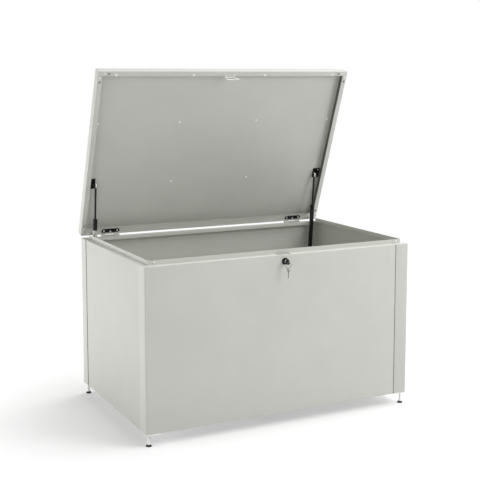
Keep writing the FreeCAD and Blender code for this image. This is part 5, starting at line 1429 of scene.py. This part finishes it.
class GARDENBOX_OT_strike(Operator):
    """Fold the strike under the lid's front lip and screw it on"""
    bl_idname = "gardenbox.strike"
    bl_label = "Strike"

    def folded(self, line, thick, x0, x1):
        """Sheet folded along a line and drawn out along X."""
        section = sheet_ring(line, 2.2 * MM, thick)
        return Shape().solid([[(x, y, z) for y, z in section] for x in (x0, x1)])

    def execute(self, context):
        box = context.scene.garden_box
        lid, lock, at = box.lid, box.lock, lid_frame(box.lid)
        t, half, leg = lock.strike_thick, lock.strike_width / 2, 5 * MM
        # places before the hinge line and heights above it, with the lid shut
        front, web, screw_line = -858 * MM, -843 * MM, -853 * MM
        hook, waist, flange = -42 * MM, -34 * MM, lid.low - t / 2
        neck, hook_out, hook_from, screw_out = flange - 6 * MM, 9.5 * MM, 11 * MM, 24 * MM
        strike = self.folded([(web, waist + t / 2), (web, hook), (web - hook_out, hook)], t, hook_from,
                             half)
        window = rectangle(-half + leg, waist + leg, half - leg, neck - 1 * MM, 2 * MM)[::-1]
        strike.plate([rectangle(-half, waist, half, neck, 0.8 * MM), window], -web - t / 2, -web + t / 2,
                     0.3 * MM, FRONT_PLATE)
        strike.copy_in(self.folded([(front, flange), (web, flange), (web, neck)], t, -half, half), finish=1)
        set_piece(context, "strike", strike, ["strike_plate"], "zinc", at, more=("grey_paint",))
        places = [((side * screw_out, screw_line, lid.low - t), DOWN) for _, side in SIDES]
        set_fasteners(context, "strike_cross_screws", cross_screw(box.fasteners, t + SCREW_BITE), places,
                      "strike_screws", at)
        return {"FINISHED"}


class GARDENBOX_OT_lock(Operator):
    """Make the cam lock: rosette, back nut, plug with its key slot, cam and screw"""
    bl_idname = "gardenbox.lock"
    bl_label = "Lock"

    def rosette(self, lock, front):
        """Stepped rosette with a groove round the plug, on the threaded housing."""
        r, h, body, depth = lock.rosette, lock.rosette_thick, lock.body, lock.body_depth
        bore, pitch, thread = lock.plug + FIT, 1.0 * MM, 0.5 * MM
        rim = [(r - 0.4 * MM, 0), (r, 0.4 * MM), (r, 1.6 * MM), (r - 0.8 * MM, 2.6 * MM)]
        slope = [(r - 2.2 * MM, 5.0 * MM), (r - 3.2 * MM, h - 0.2 * MM), (r - 4.2 * MM, h)]
        groove = [(9.6 * MM, h), (9.2 * MM, h - 0.5 * MM), (8.4 * MM, h - 0.5 * MM), (8.0 * MM, h)]
        inside = [(bore + 0.4 * MM, h), (bore, h - 0.4 * MM), (bore, -depth)]
        turns, outside = int(depth / pitch) - 1, []
        for i in range(turns):
            start = -depth + i * pitch
            outside += [(body - thread, start), (body, start + pitch * 0.5)]
        outside += [(body - thread, -depth + turns * pitch), (body, 0)]
        return Shape().lathe(rim + slope + groove + inside + outside, front, 56, closed=True)

    def nut(self, lock, sheet, front):
        """Hexagon nut behind the front's sheet."""
        return Shape().plate([hexagon(lock.nut, 0.6 * MM), circle(0, 0, lock.body + FIT, 40)],
                             -sheet - lock.nut_thick, -sheet, 0.5 * MM, front)

    def core(self, lock, back, front):
        """Plug with the key's slot in its face."""
        r, face, soft, play = lock.plug, lock.rosette_thick + lock.plug_proud, 0.5 * MM, 0.1 * MM
        x, z = lock.key / 2 + play, lock.key_width / 2 + play
        profile = [(0, face), (r - soft, face), (r, face - soft), (r, back), (0, back)]
        slot = Shape().plate([rectangle(-x, -z, x, z, 0.4 * MM)], face - lock.key_inside - 0.3 * MM,
                             face + 1 * MM, 0.1 * MM, front)
        return Shape().lathe(profile, front, 48).without(slot)

    def tongue(self, lock, back, front):
        """Cam on the back of the plug."""
        half, reach, corner = lock.cam, lock.cam_reach, 3 * MM
        outline = rounded([(-half, half, half * 0.98), (-half, -reach, corner), (half, -reach, corner),
                           (half, half, half * 0.98)], 8)
        return Shape().plate([outline, circle(0, 0, 2.0 * MM + FIT)], back - lock.cam_thick, back, 0.3 * MM,
                             front)

    def screw(self, lock, back, front):
        """Screw through the cam into the plug."""
        end, head, shank = back - lock.cam_thick, 5.0 * MM, 2.0 * MM
        profile = [(0, end - 1.9 * MM), (3.2 * MM, end - 2.0 * MM), (4.6 * MM, end - 1.4 * MM),
                   (head, end - 0.6 * MM), (head, end), (shank, end), (shank, back), (0, back)]
        recess = cross_recess(2.7 * MM, 0.55 * MM, end - 1.0 * MM, end - 3 * MM, front)
        return Shape().lathe(profile, front, 36).without(recess)

    def execute(self, context):
        box = context.scene.garden_box
        w, lock = box.walls, box.lock
        front = axis_frame((0, -w.depth / 2, lock.height), FORWARD)
        back = -lock.body_depth - 0.4 * MM
        set_piece(context, "lock_rosette", self.rosette(lock, front), ["lock_housing"], "lock_black")
        set_piece(context, "lock_back_nut", self.nut(lock, w.sheet, front), ["lock_nut"], "bright_steel")
        set_piece(context, "lock_core", self.core(lock, back, front), ["lock_plug"], "lock_metal")
        set_piece(context, "lock_tongue", self.tongue(lock, back, front), ["lock_cam"], "bright_steel")
        set_piece(context, "lock_tongue_screw", self.screw(lock, back, front), ["lock_cam_screw"],
                  "bright_steel")
        return {"FINISHED"}


class GARDENBOX_OT_keys(Operator):
    """Cut the key in the lock and the spare, and coil the ring that joins them"""
    bl_idname = "gardenbox.keys"
    bl_label = "Keys and ring"

    # play between the ring's wire and the holes in the bows
    HANG = 0.3 * MM

    def bow(self, radius, half):
        """Outline of a bow, open where a blade of the given half width leaves it."""
        lap, steps = math.asin(half / radius), 44
        turns = [-math.pi + lap + (2 * math.pi - 2 * lap) * i / steps for i in range(steps + 1)]
        return [(radius * math.cos(t), radius * math.sin(t)) for t in turns]

    def key(self, lock, bow, blade):
        """Flat key along local -X with its bow about the origin; bitting on the lower edge."""
        half, step, tip = lock.key_width / 2, 0.8 * MM, -bow - blade
        shoulder = -math.sqrt(max(bow * bow - (half + step) ** 2, 0)) - 2.0 * MM
        points = self.bow(bow, half + step) + [
            (shoulder, half + step), (shoulder - 0.6 * MM, half), (tip + 1.6 * MM, half),
            (tip, half - 2.2 * MM), (tip + 0.8 * MM, -half + 1.4 * MM)]
        cuts, start = (0.6, 1.9, 1.1, 2.3, 0.8), tip + 2.2 * MM
        bits = blade * 0.62 / len(cuts)
        for i, cut in enumerate(cuts):
            a, deep = start + i * bits, -half + cut * MM
            points += [(a, -half + 0.2 * MM), (a + bits * 0.3, deep), (a + bits * 0.62, deep)]
        points += [(start + len(cuts) * bits, -half), (shoulder - 0.6 * MM, -half),
                   (shoulder, -half - step)]
        blank = Shape().plate([points, circle(lock.hole_out, 0, lock.hole, 28)], -lock.key / 2,
                              lock.key / 2, 0.25 * MM)
        grooves, wide, deep = Shape(), 1.0 * MM, 0.45 * MM
        for level in (0.55 * MM, -1.6 * MM):
            for side in (-1, 1):
                low, high = sorted((side * (lock.key / 2 - deep), side * lock.key))
                grooves.block((tip - 1 * MM, level, low), (-bow - 1.5 * MM, level + wide, high))
        return blank.without(grooves)

    def head(self, lock):
        """Moulded head over the bow of the key in the lock."""
        half, neck = lock.key_width / 2 + 1.3 * MM, -lock.bow - 3.5 * MM
        outline = self.bow(lock.bow + 0.8 * MM, half) + [(neck, half), (neck, -half)]
        return Shape().plate([outline, circle(lock.hole_out, 0, lock.hole + 0.2 * MM, 28)], -lock.head / 2,
                             lock.head / 2, 0.9 * MM)

    def ring(self, lock, centre):
        """Two coils of flat-ended wire, side by side."""
        fine, flat, coils, start, steps = lock.wire * 0.5, 1.5, 2.08, 0.4, 150
        rings = []
        for i in range(steps + 1):
            turn = 2 * math.pi * (coils * i / steps) + start
            lay = lock.wire * (2.0 * i / steps - 1.0) * 0.55
            radial = Vector((math.cos(turn), 0, math.sin(turn)))
            spot = centre + radial * lock.ring + Vector((0, lay, 0))
            rings.append([spot + radial * (fine * flat * math.cos(q)) + Vector((0, fine * math.sin(q), 0))
                          for q in spokes(12)])
        return Shape().solid(rings)

    def execute(self, context):
        box = context.scene.garden_box
        w, lock = box.walls, box.lock
        bow_y = -w.depth / 2 - lock.rosette_thick - lock.plug_proud - lock.key_neck - lock.bow
        # local X of the key points away from the lock, its plate faces left and right
        key_at = Matrix.Translation((0, bow_y, lock.height)) @ Matrix(
            ((0, 0, -1, 0), (-1, 0, 0, 0), (0, 1, 0, 0), (0, 0, 0, 1)))
        key = self.key(lock, lock.bow, lock.key_neck + lock.key_inside)
        key.copy_in(self.head(lock), finish=1)
        set_piece(context, "lock_key", key, ["key"], "key_metal", key_at, more=("lock_black",))
        hole_y, top = bow_y - lock.hole_out, lock.height - lock.hole + lock.wire + self.HANG
        ring = self.ring(lock, Vector((0, hole_y, top - lock.ring)))
        set_piece(context, "split_ring", ring, ["key_ring"], "bright_steel", finish="ring")
        # the spare hangs with its local X up
        spare_z = top - 2 * lock.ring - lock.hole + lock.wire + self.HANG - lock.hole_out
        spare_at = Matrix.Translation((0, hole_y, spare_z)) @ Matrix(
            ((0, 0, -1, 0), (0, 1, 0, 0), (1, 0, 0, 0), (0, 0, 0, 1)))
        set_piece(context, "hanging_key", self.key(lock, lock.spare_bow, lock.spare_blade), ["spare_key"],
                  "key_metal", spare_at)
        return {"FINISHED"}


class GARDENBOX_OT_stage(Operator):
    """Lay the pale floor, set the soft light and stand the camera"""
    bl_idname = "gardenbox.stage"
    bl_label = "Stage"

    def seen(self, tree):
        """1 where a camera, glossy or transmission ray looks."""
        path = tree.nodes.new("ShaderNodeLightPath")
        seen = path.outputs["Is Camera Ray"]
        for ray in ("Is Glossy Ray", "Is Transmission Ray"):
            either = tree.nodes.new("ShaderNodeMath")
            either.operation = "MAXIMUM"
            tree.links.new(seen, either.inputs[0])
            tree.links.new(path.outputs[ray], either.inputs[1])
            seen = either.outputs[0]
        return seen

    def pale_floor(self, stage):
        """Matt floor with a glow of its own where it is looked at."""
        material = bpy.data.materials.new("pale_floor")
        material.use_nodes = True
        tree = material.node_tree
        shader, out = tree.nodes["Principled BSDF"], tree.nodes["Material Output"]
        shader.inputs["Base Color"].default_value = (*stage.floor, 1)
        shader.inputs["Roughness"].default_value = 1.0
        shader.inputs["Specular IOR Level"].default_value = 0.0
        glow, both, lift = [tree.nodes.new(kind) for kind in (
            "ShaderNodeEmission", "ShaderNodeAddShader", "ShaderNodeMath")]
        lift.operation = "MULTIPLY"
        lift.inputs[1].default_value = stage.floor_lift
        for source, target in (
                (self.seen(tree), lift.inputs[0]), (lift.outputs[0], glow.inputs["Strength"]),
                (shader.outputs[0], both.inputs[0]), (glow.outputs[0], both.inputs[1]),
                (both.outputs[0], out.inputs["Surface"])):
            tree.links.new(source, target)
        return material

    def floor(self, context, stage):
        """Round floor that reaches the horizon."""
        made, reach = Shape(), 40.0
        edge = [(reach * math.cos(t), reach * math.sin(t), 0) for t in spokes(64)]
        made.bm.faces.new([made.bm.verts.new(point) for point in edge])
        ground = bpy.data.objects.new("floor", made.mesh("floor"))
        context.scene.collection.objects.link(ground)
        ground.data.materials.append(self.pale_floor(stage))

    def surround(self, scene, stage):
        """White surround, dimmer as a light than it looks."""
        world = bpy.data.worlds.new("studio")
        scene.world = world
        world.use_nodes = True
        tree = world.node_tree
        background, level = tree.nodes["Background"], tree.nodes.new("ShaderNodeMapRange")
        background.inputs["Color"].default_value = (1, 1, 1, 1)
        level.inputs["To Min"].default_value = stage.ambient
        level.inputs["To Max"].default_value = 1.0
        tree.links.new(self.seen(tree), level.inputs["Value"])
        tree.links.new(level.outputs["Result"], background.inputs["Strength"])

    def lamp(self, context, name, kind, power, place, target):
        """A light that looks from its place to a target."""
        made = bpy.data.lights.new(name, kind)
        made.energy = power
        holder = bpy.data.objects.new(name, made)
        holder.location = place
        holder.rotation_euler = (Vector(target) - Vector(place)).to_track_quat("-Z", "Y").to_euler()
        context.scene.collection.objects.link(holder)
        return made

    def softbox(self, context, name, power, place, target, wide, tall):
        """A rectangular light."""
        made = self.lamp(context, name, "AREA", power, place, target)
        made.shape = "RECTANGLE"
        made.size, made.size_y = wide, tall

    def camera(self, scene, stage):
        """Camera at the photograph's place, with its lens shifted."""
        made = bpy.data.cameras.new("camera")
        made.sensor_fit, made.sensor_width = "HORIZONTAL", 36.0
        made.lens, made.shift_y, made.clip_end = stage.lens, stage.shift, 200.0
        holder = bpy.data.objects.new("camera", made)
        holder.location = stage.place
        holder.rotation_euler = (math.pi / 2 - stage.pitch, 0, -stage.yaw)
        scene.collection.objects.link(holder)
        scene.camera = holder

    def execute(self, context):
        scene, stage = context.scene, context.scene.garden_box.stage
        self.floor(context, stage)
        self.surround(scene, stage)
        sun = self.lamp(context, "top_light", "SUN", stage.top_light, (0.75, -0.05, 1.0), (0, 0, 0))
        sun.angle = math.radians(72)
        # name, level, place, target, width and height
        for softbox in (("right_light", stage.right_light, (1.6, -2.2, 2.2), (0, 0.1, 1.1), 1.0, 1.0),
                        ("left_light", stage.left_light, (-3.2, 0.8, 0.7), (-0.6, 0, 0.45), 2.2, 1.0)):
            self.softbox(context, *softbox)
        self.camera(scene, stage)
        scene.view_settings.view_transform = "Standard"
        return {"FINISHED"}


class GARDENBOX_PT_panel(Panel):
    """Lists the steps that build the box"""
    bl_idname = "GARDENBOX_PT_panel"
    bl_label = "Garden box"
    bl_space_type = "VIEW_3D"
    bl_region_type = "UI"
    bl_category = "Garden box"

    def draw(self, context):
        for step in STEPS:
            self.layout.operator(step.bl_idname)
        box = context.scene.garden_box
        for group in ("walls", "lid", "feet", "hinges", "fasteners", "struts", "lock", "finishes", "stage"):
            column = self.layout.column()
            column.label(text=group.capitalize())
            settings = getattr(box, group)
            for name in settings.__annotations__:
                column.prop(settings, name)


STEPS = (
    GARDENBOX_OT_stage, GARDENBOX_OT_wall_sheets, GARDENBOX_OT_floor, GARDENBOX_OT_feet, GARDENBOX_OT_lid,
    GARDENBOX_OT_lid_corners, GARDENBOX_OT_rivets, GARDENBOX_OT_hinges, GARDENBOX_OT_struts,
    GARDENBOX_OT_strike, GARDENBOX_OT_lock, GARDENBOX_OT_keys,
)
GROUPS = (WallSizes, LidSizes, FootSizes, HingeSizes, FastenerSizes, StrutSizes, LockSizes, Finishes,
          StageSettings, GardenBox)


def register():
    for made in (*GROUPS, *STEPS, GARDENBOX_PT_panel):
        bpy.utils.register_class(made)
    bpy.types.Scene.garden_box = PointerProperty(type=GardenBox)


def unregister():
    del bpy.types.Scene.garden_box
    for made in reversed((*GROUPS, *STEPS, GARDENBOX_PT_panel)):
        bpy.utils.unregister_class(made)


def main():
    """Build the box."""
    register()
    for step in STEPS:
        family, name = step.bl_idname.split(".")
        getattr(getattr(bpy.ops, family), name)()
    bpy.context.view_layer.update()


if __name__ == "__main__":
    main()
